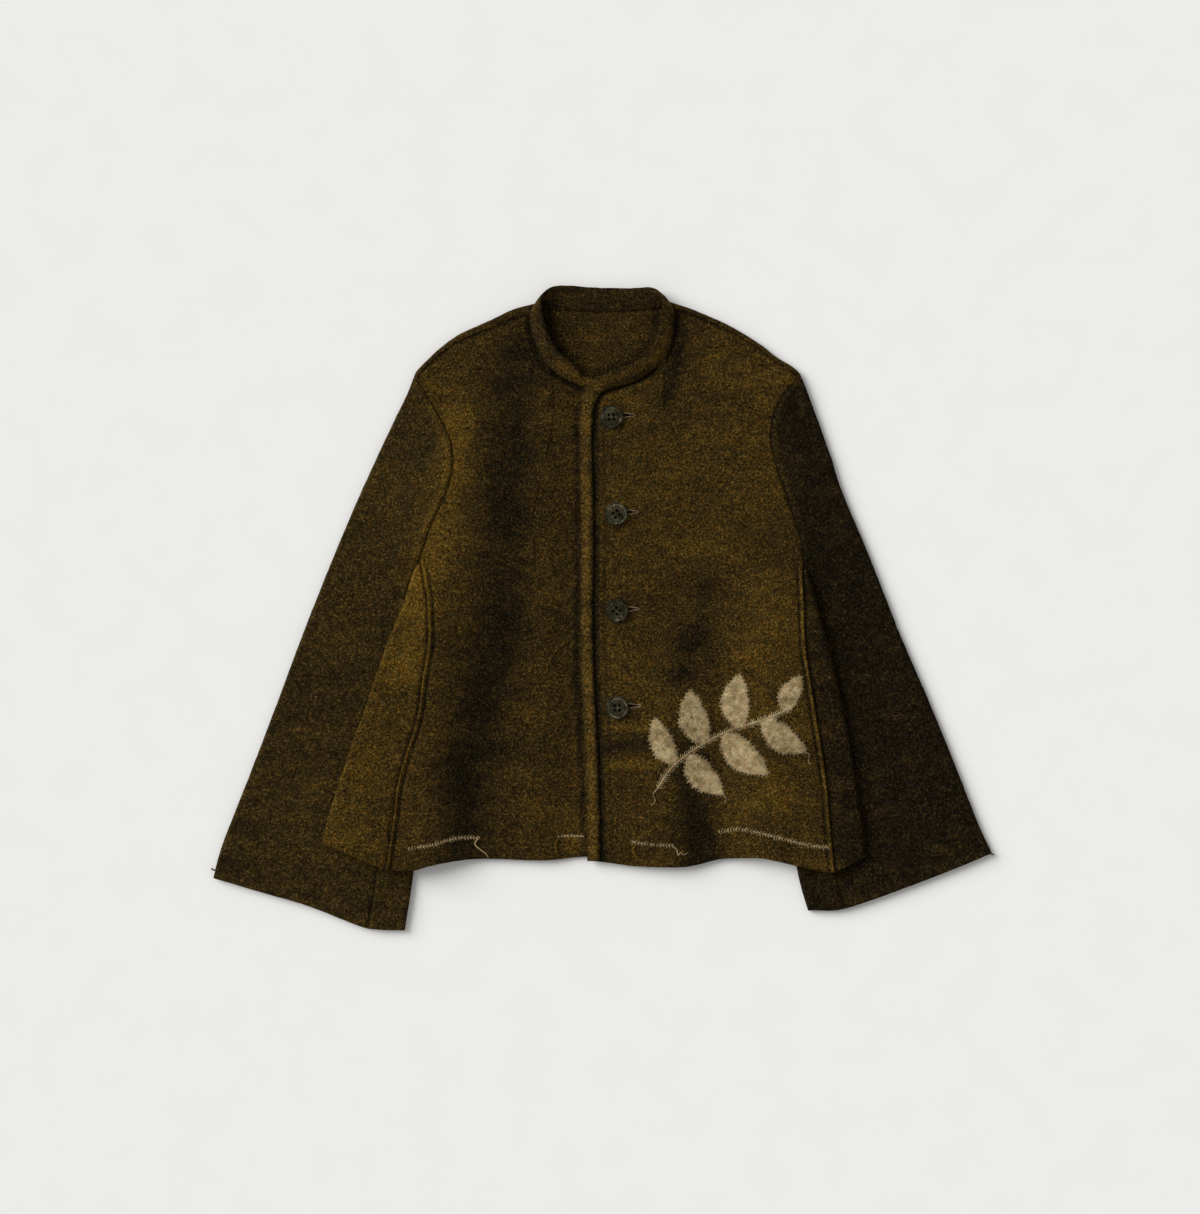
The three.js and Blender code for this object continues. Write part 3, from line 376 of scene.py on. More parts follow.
def meshPiece(name, verts, faces, smoothShade=True):
    mesh = bpy.data.meshes.new(name)
    faces = np.asarray(faces, np.int32)
    mesh.vertices.add(len(verts))
    mesh.vertices.foreach_set("co", (np.asarray(verts) * mm).astype(np.float32).ravel())
    mesh.loops.add(faces.size)
    mesh.loops.foreach_set("vertex_index", faces.ravel())
    mesh.polygons.add(len(faces))
    mesh.polygons.foreach_set("loop_start", np.arange(0, faces.size, faces.shape[1], dtype=np.int32))
    mesh.update(calc_edges=True)
    mesh.validate()
    if smoothShade:
        mesh.polygons.foreach_set("use_smooth", np.ones(len(mesh.polygons), bool))
    piece = bpy.data.objects.new(name, mesh)
    bpy.context.scene.collection.objects.link(piece)
    return piece


# Marks darker or lighter than the rest of the cloth: a line, its reach and its tone. Most are painted shade in fold
# troughs, in grooves beside the seams and the button band, and under the standing neck band; some are painted light on
# fold crests and down the button band; the three bands across the lower left front are real dye
dyeAndShadingMarks = [
    ([(-92, 262), (-97, 90), (-106, 0), (-114, -60), (-132, -120), (-138, -170), (-134, -262)], 31, -0.9),
    ([(-150, 190), (-166, 100), (-188, 20), (-198, -60)], 20, 0.6),
    ([(-40, 130), (-44, -60)], 26, -0.16),
    ([(104, 30), (108, -60)], 14, -0.4),
    ([(88, -26), (80, -66)], 15, -0.85),
    ([(90, -158), (96, -205), (103, -262)], 20, -1.15),
    ([(172, -172), (188, -196)], 14, 0.5),
    ([(75, 298), (77, 264), (72, 238), (64, 210)], 7.5, -0.9),
    ([(-27.5, 205), (-26, 60), (-27, -45), (-22, -150), (-19, -258)], 3.5, -0.8),
    ([(-7, 205), (-6.6, 60), (-7, -45), (-2, -150), (0.5, -258)], 4.5, -1.1),
    ([(3, 228), (16, 232), (33, 237), (48, 246)], 3.6, -0.9),
    ([(-20, 242), (-32, 254), (-47, 270), (-54, 288), (-57, 306)], 6, -0.55),
    ([(-8, 242), (12, 246), (33, 257), (46, 270), (54, 290), (56, 308)], 3.2, -0.7),
    ([(-20, 223), (-35, 229), (-50, 237), (-64, 251), (-74, 272)], 3.2, -0.6),
    ([(-16, 190), (-15, 0), (-9, -255)], 9, 0.3),
    ([(-52, 258), (-66, 284), (-66, 300)], 11, -0.6),
    ([(70, 160), (160, 140)], 34, 0.16),
    ([(20, -18), (110, -10)], 34, -0.3),
    ([(4, -123), (64, -122)], 4.5, 0.55),
    ([(4, -141), (62, -140)], 10, -0.85),
    ([(4, -161), (60, -160)], 5, 0.35),
    ([(-20, -122), (-110, -150)], 12, -0.3),
    ([(216, 60), (240, -60), (262, -250)], 16, -0.4),
    ([(214, 200), (230, 120), (246, 40)], 22, -0.4),
    ([(-206, 150), (-240, 60)], 30, 0.1),
    ([(250, 60), (330, -200)], 40, -0.3),
]


# Stores each point's tone of dye and painted shading, where 0.5 is the plain cloth
def addDyeAndShading(piece, plain):
    mesh = piece.data
    co = np.empty(len(mesh.vertices) * 3, np.float32)
    mesh.vertices.foreach_get("co", co)
    p = co.reshape(-1, 3) / mm
    tone = np.zeros(len(p)) + 0.5 + plain
    for line, reach, depth in dyeAndShadingMarks:
        corners, far = np.array(line, float), 2.6 * reach
        near = ((p[:, :2] > corners.min(0) - far) & (p[:, :2] < corners.max(0) + far)).all(1)
        away = distanceTo(curve(line), p[near, :2], 24)
        tone[near] += depth * bell(away, reach) * 0.5
    layer = mesh.attributes.new("dyeAndShading", "FLOAT", "POINT")
    layer.data.foreach_set("value", np.clip(tone, 0, 1).astype(np.float32))


frontSizes = {"columns": 104, "rows": 300, "welt": 1.7, "weltAt": 1.7, "weltWidth": 2.3, "groove": 1.25,
              "grooveAt": 5.3, "grooveWidth": 1.5, "weltTop": (52, 34), "armhole": [(0, 1.8, -0.35)],
              "shoulder": [(0, 2, -0.8)], "band": [(0, 3.6, -2.1), (8, 2.4, 0.5), (12, 1.5, -0.45)],
              "closeRows": (0.009, 0.018, 0.027, 0.036, 0.046)}


# One front: neck, centre edge and hem run from the centre outwards
def frontPanel(name, side, neck, centre, hem, height, bandBase):
    lines = sideCurves(side)
    shoulder = curve([shoulderSeam(side, s) for s in steps(10)])
    outer = joined(lines["frontHole"], lines["seam"])
    inner = np.linspace(0, 1, frontSizes["columns"] + 1)
    u = np.unique(np.concatenate([inner, 1 - np.array(frontSizes["closeRows"])]))
    v = steps(frontSizes["rows"])
    plan = signed(between(joined(neck, shoulder), hem, centre, outer, u, v), side["sign"])
    out = signed(plan, side["sign"])
    toSeam = distanceTo(lines["seam"], out)
    toHole = distanceTo(lines["frontHole"], out)
    toShoulder = distanceTo(shoulder, out)
    toBand = distanceTo(bandBase, plan)
    below = ramp(out[..., 1], *frontSizes["weltTop"])
    rope = 1 + 0.3 * noise(raised(plan, 0.0), 8, 31)
    lift = frontSizes["welt"] * rope * bell(toSeam - frontSizes["weltAt"], frontSizes["weltWidth"]) * below
    groove = bell(toSeam - frontSizes["grooveAt"], frontSizes["grooveWidth"])
    lift = lift - frontSizes["groove"] * groove * below
    for distance, key in ((toHole, "armhole"), (toShoulder, "shoulder"), (toBand, "band")):
        lift = ridged(distance, frontSizes[key], lift)
    return clothPiece(name, [raised(plan, height(plan))], side["sign"] > 0, [lift], dyeAndShading=0.0)


def neckPart(first, last):
    return [(abs(row[0]), row[1]) for row in neckBand[first:last + 1]]


def bandLine(start, end):
    rows = [row[:2] for row in neckBand] + [(x + bandSizes["width"], y) for y, x in frontEdge]
    return curve(rows[start:end])


def buildFronts():
    right, left = sides["right"], sides["left"]
    under = overlap["edge"]
    neck = curve([(-under, 222), (0, 222), *neckPart(1, 6), shoulderSeam(right, 0.0)])
    hem = curve([(-under, -254), *right["hem"]])
    centre = curve([(-under, 222), (-under, -254)])
    frontRight = frontPanel("wool_front_right", right, neck, centre, hem, rightFrontZ, bandLine(1, 8))
    edge = [(x + bandSizes["width"], y) for y, x in [(210, -22.5), *frontEdge]]
    corner = left["hem"][0]
    neck = curve([edge[0], (-5, 217), *neckPart(14, 20)[::-1], shoulderSeam(left, 0.0)])
    centre = curve([*edge[:-1], corner])
    frontLeft = frontPanel("wool_front_left", left, neck, centre, curve(left["hem"]), leftFrontZ,
                           bandLine(13, 32))
    return frontRight, frontLeft


# The back's darker tone is painted shade for the inside of the neck, under the standing band
backSizes = {"columns": 40, "rows": 110, "arc": 12, "dyeAndShading": -0.12, "seam": [(4, 3, 0.35), (0, 1.3, -0.5)]}


def buildBack():
    columns, rows = backSizes["columns"], backSizes["rows"]
    right, left = sides["right"], sides["left"]
    ends = [signed(shoulderFold(side, 0.0), side["sign"]) for side in (right, left)]
    neck = curve([ends[0], *[row[:2] for row in neckBand[8:13]], ends[1]])

    def top(t):
        first = signed(shoulderFold(right, np.clip(1 - 3 * t, 0, 1)), -1)
        last = signed(shoulderFold(left, np.clip(3 * t - 2, 0, 1)), 1)
        middle = neck(np.clip(3 * t - 1, 0, 1))
        return np.where((t <= 1 / 3)[:, None], first, np.where((t >= 2 / 3)[:, None], last, middle))
    borders = []
    for side in (right, left):
        line = joined(sideCurves(side)["backHole"], sideCurves(side)["backSeam"])
        borders.append(lambda s, line=line, sign=side["sign"]: signed(line(s), sign))
    hem = curve([borders[0](1.0), (-120, -253), (0, -254), (120, -253), borders[1](1.0)])
    u = steps(3 * columns)
    plan = between(top, hem, *borders, u, steps(rows))
    grids, lifts = [raised(plan, lowerZ(plan))], [np.zeros(plan.shape[:2])]
    for side in (right, left):
        s = steps(columns)
        s = 1 - s if side["sign"] < 0 else s
        fold = signed(shoulderFold(side, s), side["sign"])
        edge = signed(movedRight(curve(side["shoulder"]), s, np.zeros(len(s))), side["sign"])
        away = unit(edge - fold)
        arc = [foldPoint(fold, away, 1 - turn, topOfFold, half, wool["fold"])
               for turn in steps(backSizes["arc"])]
        seam = signed(shoulderSeam(side, s), side["sign"])
        flat = [raised(mix(fold, seam, part), topOfFold) for part in (0.34, 0.67, 1)]
        grid = np.stack(arc + flat, 1)
        grids.append(grid)
        toSeam = np.linalg.norm(grid[..., :2] - seam[:, None], axis=-1)
        lifts.append(ridged(toSeam, backSizes["seam"]))
        lifts[-1][:, :9] = 0
    return clothPiece("wool_back", grids, False, lifts, dyeAndShading=backSizes["dyeAndShading"])


# The left side panel's darker tone is painted shade: it faces away from the key light
sideSizes = {"rows": 170, "across": 26, "under": 12, "arc": 9,
             "right": {"groove": [(0.6, 1.5, -1.3)], "dyeAndShading": 0.08},
             "left": {"groove": [(0.6, 2.2, -1.3)], "dyeAndShading": -0.3}}


def sidePanel(key, height):
    side = sides[key]
    lines, sign = sideCurves(side), side["sign"]
    s = steps(sideSizes["rows"])
    edge, seam, backSeam = lines["edge"](s), lines["seam"](s), lines["backSeam"](s)
    edgePlan = signed(edge, sign)
    thick = (height(edgePlan) - lowerZ(edgePlan)) / 2
    room = np.linalg.norm(edge - seam, axis=-1) - half - 0.4
    reach = np.minimum(np.minimum(thick, wool["fold"] + 0.6), room)
    turn = signed(movedRight(lines["edge"], s, reach + half), sign)
    away = edgePlan - signed(movedRight(lines["edge"], s, np.full(len(s), 1.0)), sign)
    columns = [mix(signed(seam, sign), turn, t) for t in steps(sideSizes["across"])]
    grid = [raised(plan, height(plan)) for plan in columns]
    grid += [foldPoint(turn, away, t, height(turn), lowerZ(turn), reach)
             for t in steps(sideSizes["arc"])[1:-1]]
    columns = [mix(turn, signed(backSeam, sign), t) for t in steps(sideSizes["under"])]
    grid += [raised(plan, lowerZ(plan)) for plan in columns]
    grid = np.stack(grid, 1)
    toSeam = np.linalg.norm(grid[..., :2] - signed(seam, sign)[:, None], axis=-1)
    lift = ridged(toSeam, sideSizes[key]["groove"])
    lift[:, sideSizes["across"] + 1:] = 0
    return clothPiece("wool_side_" + key, [grid], sign > 0, [lift], dyeAndShading=sideSizes[key]["dyeAndShading"])


# The left sleeve's darker tone is painted shade for the sleeve on the side away from the key light
sleeveSizes = {"underarm": 0.31, "seam": 34, "lift": 70, "holeRows": 70, "rows": 170,
               "holeRidge": [(5, 3.4, 1.1)], "seamGroove": (0, 1.4, 0.7), "underSeam": [(4, 2.4, 0.4), (0, 1.4, -0.7)],
               "dyeAndShading": {"right": -0.08, "left": -0.42}}


def sleeve(key, side, height):
    lines, sign = sideCurves(side), side["sign"]
    outer = curve([curve(side["shoulder"])(1.0), *side["sleeveOuter"]])
    inner = curve([side["armhole"][-1], *side["sleeveInner"]])
    cuff = curve(side["cuff"])
    underarm = sideCurves(side)["frontHole"](1.0)
    underarmZ = float(height(signed(underarm, sign)))
    holes = [(i / sleeveSizes["holeRows"], 0.0) for i in range(sleeveSizes["holeRows"] + 1)]
    downs = [(1.0, (i / sleeveSizes["rows"]) ** 1.25) for i in range(1, sleeveSizes["rows"] + 1)]
    topRows, lowerRows, innerRows, seamLift = [], [], [], []
    for hole, down in holes + downs:
        share = sleeveSizes["underarm"] * hole + (1 - sleeveSizes["underarm"]) * down
        radius = mix(wool["fold"], wool["sleeveFold"], ramp(share, 0, 0.1))
        flatZ = half + 2 * radius
        outerFold = movedRight(outer, share, radius + half) if share else shoulderFold(side, 1.0)
        outerWay = unit(outer(share) - outerFold)
        innerReach = wool["sleeveFold"] * ramp(down, 0, 0.08)
        innerFold = movedRight(inner, down, -(innerReach + half * ramp(down, 0, 0.03)))
        innerWay = movedRight(inner, down, 1.0) - inner(down)
        upper = innerFold if down else lines["frontHole"](hole)
        lower = innerFold if down else lines["backHole"](hole)
        holeZ = mix(underarmZ, flatZ, ramp(down, 0, 0.07)) if down else float(height(signed(upper, sign)))
        width = max(1.0, np.linalg.norm(outerFold - upper))
        bow = ramp(down, 0.45, 1)

        def plan(end, u):
            u = np.asarray(u, float)
            wave = (cuff(u) - mix(cuff(0.0), cuff(1.0), u[..., None])) * bow
            return mix(outerFold, end, u[..., None]) + wave

        def upperPoint(u):
            lifted = ramp(u, max(0, 1 - sleeveSizes["lift"] / width), 1)
            return raised(signed(plan(upper, u), sign), flatZ + lifted * (holeZ - flatZ))

        def turnOf(at, away, turns, high, reach):
            return np.stack([foldPoint(signed(at, sign), signed(away, sign), t, high, half, reach)
                             for t in turns])
        seamU = 1 - sleeveSizes["seam"] * ramp(down, 0, 0.6) / width if down else 1
        topRows.append(np.vstack([turnOf(outerFold, outerWay, steps(6)[1:][::-1] / 2, flatZ, radius),
                                  upperPoint(seamU * steps(64))]))
        lowerRows.append(np.vstack([raised(signed(plan(lower, 1 - steps(36)), sign), half),
                                    turnOf(outerFold, outerWay, 1 - steps(6)[1:] / 2, flatZ, radius)]))
        if hole == 1:
            innerRows.append(np.vstack([upperPoint(mix(seamU, 1, steps(16))),
                                        turnOf(innerFold, innerWay, steps(8)[1:], holeZ, innerReach)]))
        toSeam = np.linalg.norm(topRows[-1][:, :2] - topRows[-1][-1, :2], axis=-1)
        ridge = 0 if down else ridged(toSeam, sleeveSizes["holeRidge"])
        at, width, depth = sleeveSizes["seamGroove"]
        seamLift.append(ridge - depth * bell(toSeam - at, width))
    top, lower, inside = np.stack(topRows), np.stack(lowerRows), np.stack(innerRows)
    for grid in (top, inside):
        grid[..., 2] += sleeveWave(grid)
    lift = np.stack(seamLift)
    lift[:, :6] = 0
    innerLift = np.zeros(inside.shape[:2])
    toSeam = np.linalg.norm(inside[..., :2] - inside[:, :1, :2], axis=-1)
    innerLift[:, :17] = ridged(toSeam, sleeveSizes["underSeam"])[:, :17]
    turned = sign < 0
    tone = sleeveSizes["dyeAndShading"][key]
    upperPiece = clothPiece("wool_sleeve_top_" + key, [top], turned, [lift], dyeAndShading=tone)
    underPiece = clothPiece("wool_sleeve_under_" + key, [lower, inside], turned,
                            [np.zeros(lower.shape[:2]), innerLift], dyeAndShading=tone)
    return upperPiece, underPiece


# Soft waves of a sleeve's top, held down at its folded edges and where the body lies on it
def sleeveWave(grid):
    high = ramp(grid[..., 2], 6.2, 7)
    clear = ramp(abs(grid[..., 0]), 250, 300)
    return high * clear * 0.5 * (1 + noise(grid * [1, 0.45, 0], 42, 21))


def buildBand():
    rows = [np.array(row, float) for row in neckBand]
    for y, x in frontEdge:
        base, free = np.array([x + bandSizes["width"], y]), np.array([x, y])
        over = bandSizes["overWool"]
        rows.append(np.array([*base, leftFrontZ(base) + over, *free, leftFrontZ(free) + over]))
    rows = np.array(rows)
    count = (len(rows) - 1) * bandSizes["perSection"]
    at = np.linspace(0, len(rows) - 1, count + 1)
    i = np.minimum(at.astype(int), len(rows) - 2)
    t = (at - i)[:, None]
    near = np.vstack([rows[:1], rows, rows[-1:]])
    line = cubic(near[i], near[i + 1], near[i + 2], near[i + 3], t)
    run = np.concatenate([[0], np.cumsum(np.linalg.norm(np.diff(line[:, :3], axis=0), axis=1))])
    even = np.linspace(0, run[-1], int(run[-1] / 1.6))
    line = np.stack([np.interp(even, run, line[:, k]) for k in range(6)], -1)
    base, free = line[:, :3], line[:, 3:]
    along = unit(np.gradient(base, axis=0))
    across = free - base
    width = np.linalg.norm(across, axis=-1, keepdims=True)
    across /= width
    up = -unit(np.cross(along, across))
    turns = np.linspace(0, 2 * math.pi, 29)[:-1]
    w = 0.5 - 0.53 * np.sign(np.cos(turns)) * abs(np.cos(turns)) ** 0.9
    h = np.sign(np.sin(turns)) * abs(np.sin(turns)) ** 0.85
    body = np.sin(turns) > -0.2
    rings = base[:, None] + across[:, None] * (w[None, :, None] * width[:, None])
    swell = 1 + 0.1 * noise(rings, 14, 41) + 0.07 * noise(rings, 4, 42)
    rings = rings + up[:, None] * (h[None, :] * swell * bandSizes["thickness"] / 2)[..., None]
    rings = rings + across[:, None] * (0.35 * noise(rings, 5, 43))[..., None] * body[None, :, None]
    rings[..., 2] = np.maximum(rings[..., 2], 0.05)
    piece = meshPiece("wool_edge_band", *closedRings(rings))
    # Painted light along the raised middle of the band's profile and painted shade at its edges
    crown = h[None, :] + np.zeros((len(rings), 1))
    addDyeAndShading(piece, np.concatenate([(0.5 * np.clip(crown, 0, 1) ** 2 - 0.27).reshape(-1), [0, 0]]))
    return piece


def leftTop(p):
    return leftFrontZ(p) + half


def rightTop(p):
    return rightFrontZ(p) + half


# Joins lists of (points, triangles) into one piece
def pieceOf(name, parts, tone=0.0):
    verts, faces, start = [], [], 0
    for points, tris in parts:
        verts.append(points)
        faces.append(np.asarray(tris) + start)
        start += len(points)
    verts = np.vstack(verts)
    verts[:, 2] = np.maximum(verts[:, 2], 0.03)
    piece = meshPiece(name, verts, np.vstack(faces))
    shade = 0.5 + tone + 0.3 * noise(verts, 4, 81)
    layer = piece.data.attributes.new("dyeAndShading", "FLOAT", "POINT")
    layer.data.foreach_set("value", np.clip(shade, 0, 1).astype(np.float32))
    return piece


# Triangles of a strip of rings, each a loop of points, closed at both ends
def closedRings(rings):
    n, m = rings.shape[:2]
    index = np.arange(n * m).reshape(n, m)
    a, b = index[:-1], np.roll(index, -1, 1)[:-1]
    c, d = np.roll(index, -1, 1)[1:], index[1:]
    faces = [np.stack([a, d, c], -1).reshape(-1, 3), np.stack([a, c, b], -1).reshape(-1, 3)]
    for ring, middle, flip in ((index[0], n * m, True), (index[-1], n * m + 1, False)):
        fan = np.stack([ring, np.roll(ring, -1), np.full(m, middle)], -1)
        faces.append(fan if flip else fan[:, ::-1])
    return np.vstack([rings.reshape(-1, 3), rings[0].mean(0), rings[-1].mean(0)]), np.vstack(faces)


# A round thread along points, thinner at both of its ends
def thread(points, radius, sides=6):
    points = np.asarray(points, float)
    along = unit(np.gradient(points, axis=0))
    across = unit(np.cross(along, [0.0, 0.01, 1.0]))
    up = np.cross(across, along)
    turns = np.arange(sides) * 2 * math.pi / sides
    size = np.broadcast_to(radius, len(points)).copy()
    size[[0, -1]] *= 0.45
    ring = across[:, None] * np.cos(turns)[None, :, None] + up[:, None] * np.sin(turns)[None, :, None]
    return closedRings(points[:, None] + ring * size[:, None, None])


# A short stitch that comes out of the cloth at one end and goes in at the other
def stitch(start, end, surface, radius, arch=0.6):
    t = steps(5)
    plan = mix(np.array(start, float), np.array(end, float), t[:, None])
    return thread(raised(plan, surface(plan) - radius * 0.8 + arch * np.sin(math.pi * t) ** 0.6), radius, 5)


# Pairs of slanting stitches that meet on a line, as on a chain of darned wool
def chevrons(line, surface, pitch, length, radius, lean=0.75):
    run = np.linalg.norm(np.diff(line(steps(60)), axis=0), axis=1).sum()
    parts = []
    for k, s in enumerate(np.linspace(0.01, 0.99, max(2, int(run / pitch)))):
        at, way = line(np.array([s]))[0], unit(line(np.array([min(1, s + 0.01)]))[0]
                                               - line(np.array([max(0, s - 0.01)]))[0])
        out = np.array([way[1], -way[0]])
        for turn in (-1, 1):
            wide = length * (1 + 0.22 * math.sin(k * 2.3 + turn) + 0.12 * math.sin(k * 5.1))
            end = at + out * turn * wide + way * wide * lean
            parts.append(stitch(at - way * 0.4, end, surface, radius * (1 + 0.15 * math.sin(k * 3.7)), 0.75))
    return parts


# Lines of cream wool near the hem, with the loose ends that they finish in
hemYarn = [
    {"front": "right", "wide": 1.25,
     "line": [(-199.4, -247), (-188, -245), (-173.6, -242.8), (-159.1, -238.4), (-144.7, -235.6),
              (-129, -236.3)]},
    {"front": "right", "wide": 0.9, "line": [(-45.9, -234.8), (-32, -234.2), (-19.3, -234.8)]},
    {"front": "left", "wide": 1.25, "line": [(29.8, -239.9), (37, -241.3), (50, -242.8), (71.6, -244)]},
    {"front": "left", "wide": 1.35,
     "line": [(118.2, -230), (140.6, -227.3), (162.9, -231.1), (185.3, -236.7), (212.1, -243.4),
              (232, -245.4)]},
]
hemEnds = [
    {"front": "right", "radius": 0.62,
     "line": [(-126, -235), (-131, -242), (-126, -247.8), (-120.2, -252.1), (-117.3, -256.5)]},
    {"front": "left", "radius": 0.42,
     "line": [(71.6, -244), (75.9, -247.8), (77.6, -253.6), (80.4, -251), (83.1, -253.5), (87.4, -251)]},
]
# Strands of the wool itself that stand on the cloth below two of the lines
hemStrands = [
    {"front": "right", "line": [(-45.9, -237.7), (-48.1, -243.5), (-47.4, -249), (-45.9, -255)]},
    {"front": "left", "line": [(32.7, -244.2), (31.2, -249.5), (35.5, -256), (41, -259.5)]},
    {"front": "left", "line": [(30.2, -243), (33.4, -250.7), (37, -256)]},
]


def buildHemYarn():
    made = {"right": [], "left": []}
    strands = {"right": [], "left": []}
    tops = {"right": rightTop, "left": leftTop}
    for row in hemYarn:
        top, line = tops[row["front"]], curve(row["line"])
        made[row["front"]] += chevrons(line, top, 2.9, row["wide"] * 1.9, 0.42)
        plan = line(steps(120))
        core = thread(raised(plan, top(plan) - 0.45), 0.7 * (1 + 0.7 * noise(raised(plan, 0.0), 3, 61)))
        made[row["front"]].append(core)
    for row in hemEnds:
        plan = curve(row["line"])(steps(40))
        lift = 0.5 + 0.5 * noise(raised(plan, 0.0), 6, 62)
        size = row["radius"] * np.linspace(1.5, 0.75, 41)
        made[row["front"]].append(thread(raised(plan, tops[row["front"]](plan) + lift), size))
    for row in hemStrands:
        plan = curve(row["line"])(steps(40))
        size = 1.25 * np.linspace(1, 0.5, 41)
        strands[row["front"]].append(thread(raised(plan, tops[row["front"]](plan) + 0.8), size))
    yarns = {key: pieceOf("cream_hem_yarn_" + key, parts, 0.14) for key, parts in made.items()}
    return yarns, {key: pieceOf("wool_strands_" + key, parts, 0.42) for key, parts in strands.items()}


# The ends of the sewing thread that stand out at the outer corner of each cuff
cuffEnds = {"right": [(-397.5, -269.8), (-400.6, -269.2), (-402.6, -267.8)],
            "left": [(397.4, -251.6), (400.4, -253.2), (402.8, -253.6)], "height": 4.4, "radius": 0.85}


def buildCuffEnds():
    made = {}
    for key in ("right", "left"):
        plan = curve(cuffEnds[key])(steps(12))
        end = thread(raised(plan, cuffEnds["height"]), cuffEnds["radius"])
        made[key] = pieceOf("cuff_thread_" + key, [end])
    return made


# A plain sprig in cream felt: base, tip and width of each leaf, and the stem that they grow from
sprig = {
    "stem": [(56, -186), (72, -163), (98, -143), (130, -126), (164, -115), (190, -104)],
    "leaves": [
        ((74, -161), (54, -112), 24), ((88, -151), (124, -192), 28), ((104, -140), (90, -84), 30),
        ((124, -129), (170, -170), 31), ((140, -123), (140, -68), 29), ((164, -115), (209, -148), 27),
        ((186, -106), (204, -70), 22),
    ],
    "felt": 1.15, "ragged": 1.9, "vein": 0.6,
}


def leafPart(base, tip, width, seed):
    base, tip = np.array(base, float), np.array(tip, float)
    length = np.linalg.norm(tip - base)
    way = (tip - base) / length
    across = np.array([way[1], -way[0]])
    t, s = steps(56), np.linspace(-1, 1, 23)
    bend = 0.07 * length * np.sin(math.pi * t) * (1 if seed % 2 else -1)
    middle = base + way * (t * length)[:, None] + across * bend[:, None]
    wide = np.maximum(width / 2 * np.sin(math.pi * t ** 0.82) ** 0.72, 0.5)
    plan = middle[:, None] + across * (wide[:, None] * s)[..., None]
    shake = sprig["ragged"] * noise(raised(plan, 0.0), 2.4, 70 + seed) * np.abs(s) ** 3
    plan = plan + across * (shake * np.sign(s))[..., None]
    flat = raised(plan, 0.0)
    edge = (1 - np.abs(s) ** 6) * np.minimum(1, np.minimum(t, 1 - t) * 22)[:, None]
    height = (sprig["felt"] + 0.22 * noise(flat, 2, 71) + 0.2 * noise(flat, 5, 72)) * edge
    height = height - sprig["vein"] * bell(s, 0.09) * edge * np.sin(math.pi * t)[:, None]
    surface = leftTop(plan)
    top, bottom = raised(plan, surface + height), raised(plan, surface - 0.7)
    rings = np.concatenate([top, bottom[:, ::-1]], 1)
    rim = np.concatenate([plan[:, -1], plan[::-1, 0]])
    return closedRings(rings[:, ::-1]), rim


# Short stitches over the rim of a leaf, in a zigzag
def rimStitches(rim, centre, pitch=2.1, length=4.4):
    run = np.concatenate([[0], np.cumsum(np.linalg.norm(np.diff(rim, axis=0), axis=1))])
    at = np.arange(0.8, run[-1] - 0.4, pitch)
    points = np.stack([np.interp(at, run, rim[:, k]) for k in range(2)], -1)
    way = unit(np.gradient(points, axis=0))
    out = np.stack([way[:, 1], -way[:, 0]], -1)
    out = out * np.sign(((points - centre) * out).sum(-1))[:, None]
    parts = []
    for k, (point, along, outer) in enumerate(zip(points, way, out)):
        lean = 0.55 if k % 2 else -0.55
        reach = length * (1 + 0.25 * math.sin(k * 2.9) + 0.15 * math.sin(k * 7.3))
        start, end = point - outer * reach * 0.5, point + outer * reach * 0.42 + along * lean
        parts.append(stitch(start, end, leftTop, 0.36, 1.5 - 0.5 * (k % 2)))
    return parts


def buildSprig():
    felt, stitches = [], []
    for seed, (base, tip, width) in enumerate(sprig["leaves"]):
        part, rim = leafPart(base, tip, width, seed)
        felt.append(part)
        stitches += rimStitches(rim, (np.array(base) + np.array(tip)) / 2)
    line = curve(sprig["stem"])
    stitches += chevrons(line, leftTop, 2.5, 3.9, 0.5)
    plan = line(steps(140))
    stitches.append(thread(raised(plan, leftTop(plan) + 0.15), 1.0))
    for ends in ([(56, -186), (52, -191), (54, -198), (50, -203)], [(124, -192), (127, -196), (125, -201)],
                 [(209, -148), (212, -151), (211, -157), (214, -161)]):
        plan = curve(ends)(steps(24))
        stitches.append(thread(raised(plan, leftTop(plan) + 0.5), np.linspace(0.5, 0.28, 25)))
    return pieceOf("cream_leaves", felt, 0.1), pieceOf("cream_stitches", stitches, 0.12)


# Tone-on-tone running stitches inside the neck, in a plain rectangle
neckStitches = {"corners": [(-38.6, 294.6), (31.4, 292.5), (31.4, 276.5), (-38.6, 276.0)], "length": 2.7,
                "pitch": 4.3, "radius": 0.34}


def buildNeckStitches():
    corners = np.array([*neckStitches["corners"], neckStitches["corners"][0]], float)
    parts = []
    for a, b in zip(corners[:-1], corners[1:]):
        run = np.linalg.norm(b - a)
        way = (b - a) / run
        for k, at in enumerate(np.arange(1.0, run - neckStitches["length"], neckStitches["pitch"])):
            drift = np.array([-way[1], way[0]]) * 0.35 * math.sin(k * 1.9)
            start = a + way * at + drift
            parts.append(stitch(start, start + way * neckStitches["length"],
                                lambda p: lowerZ(p) + half, neckStitches["radius"], 0.55))
    return pieceOf("neck_stitches", parts, -0.3)


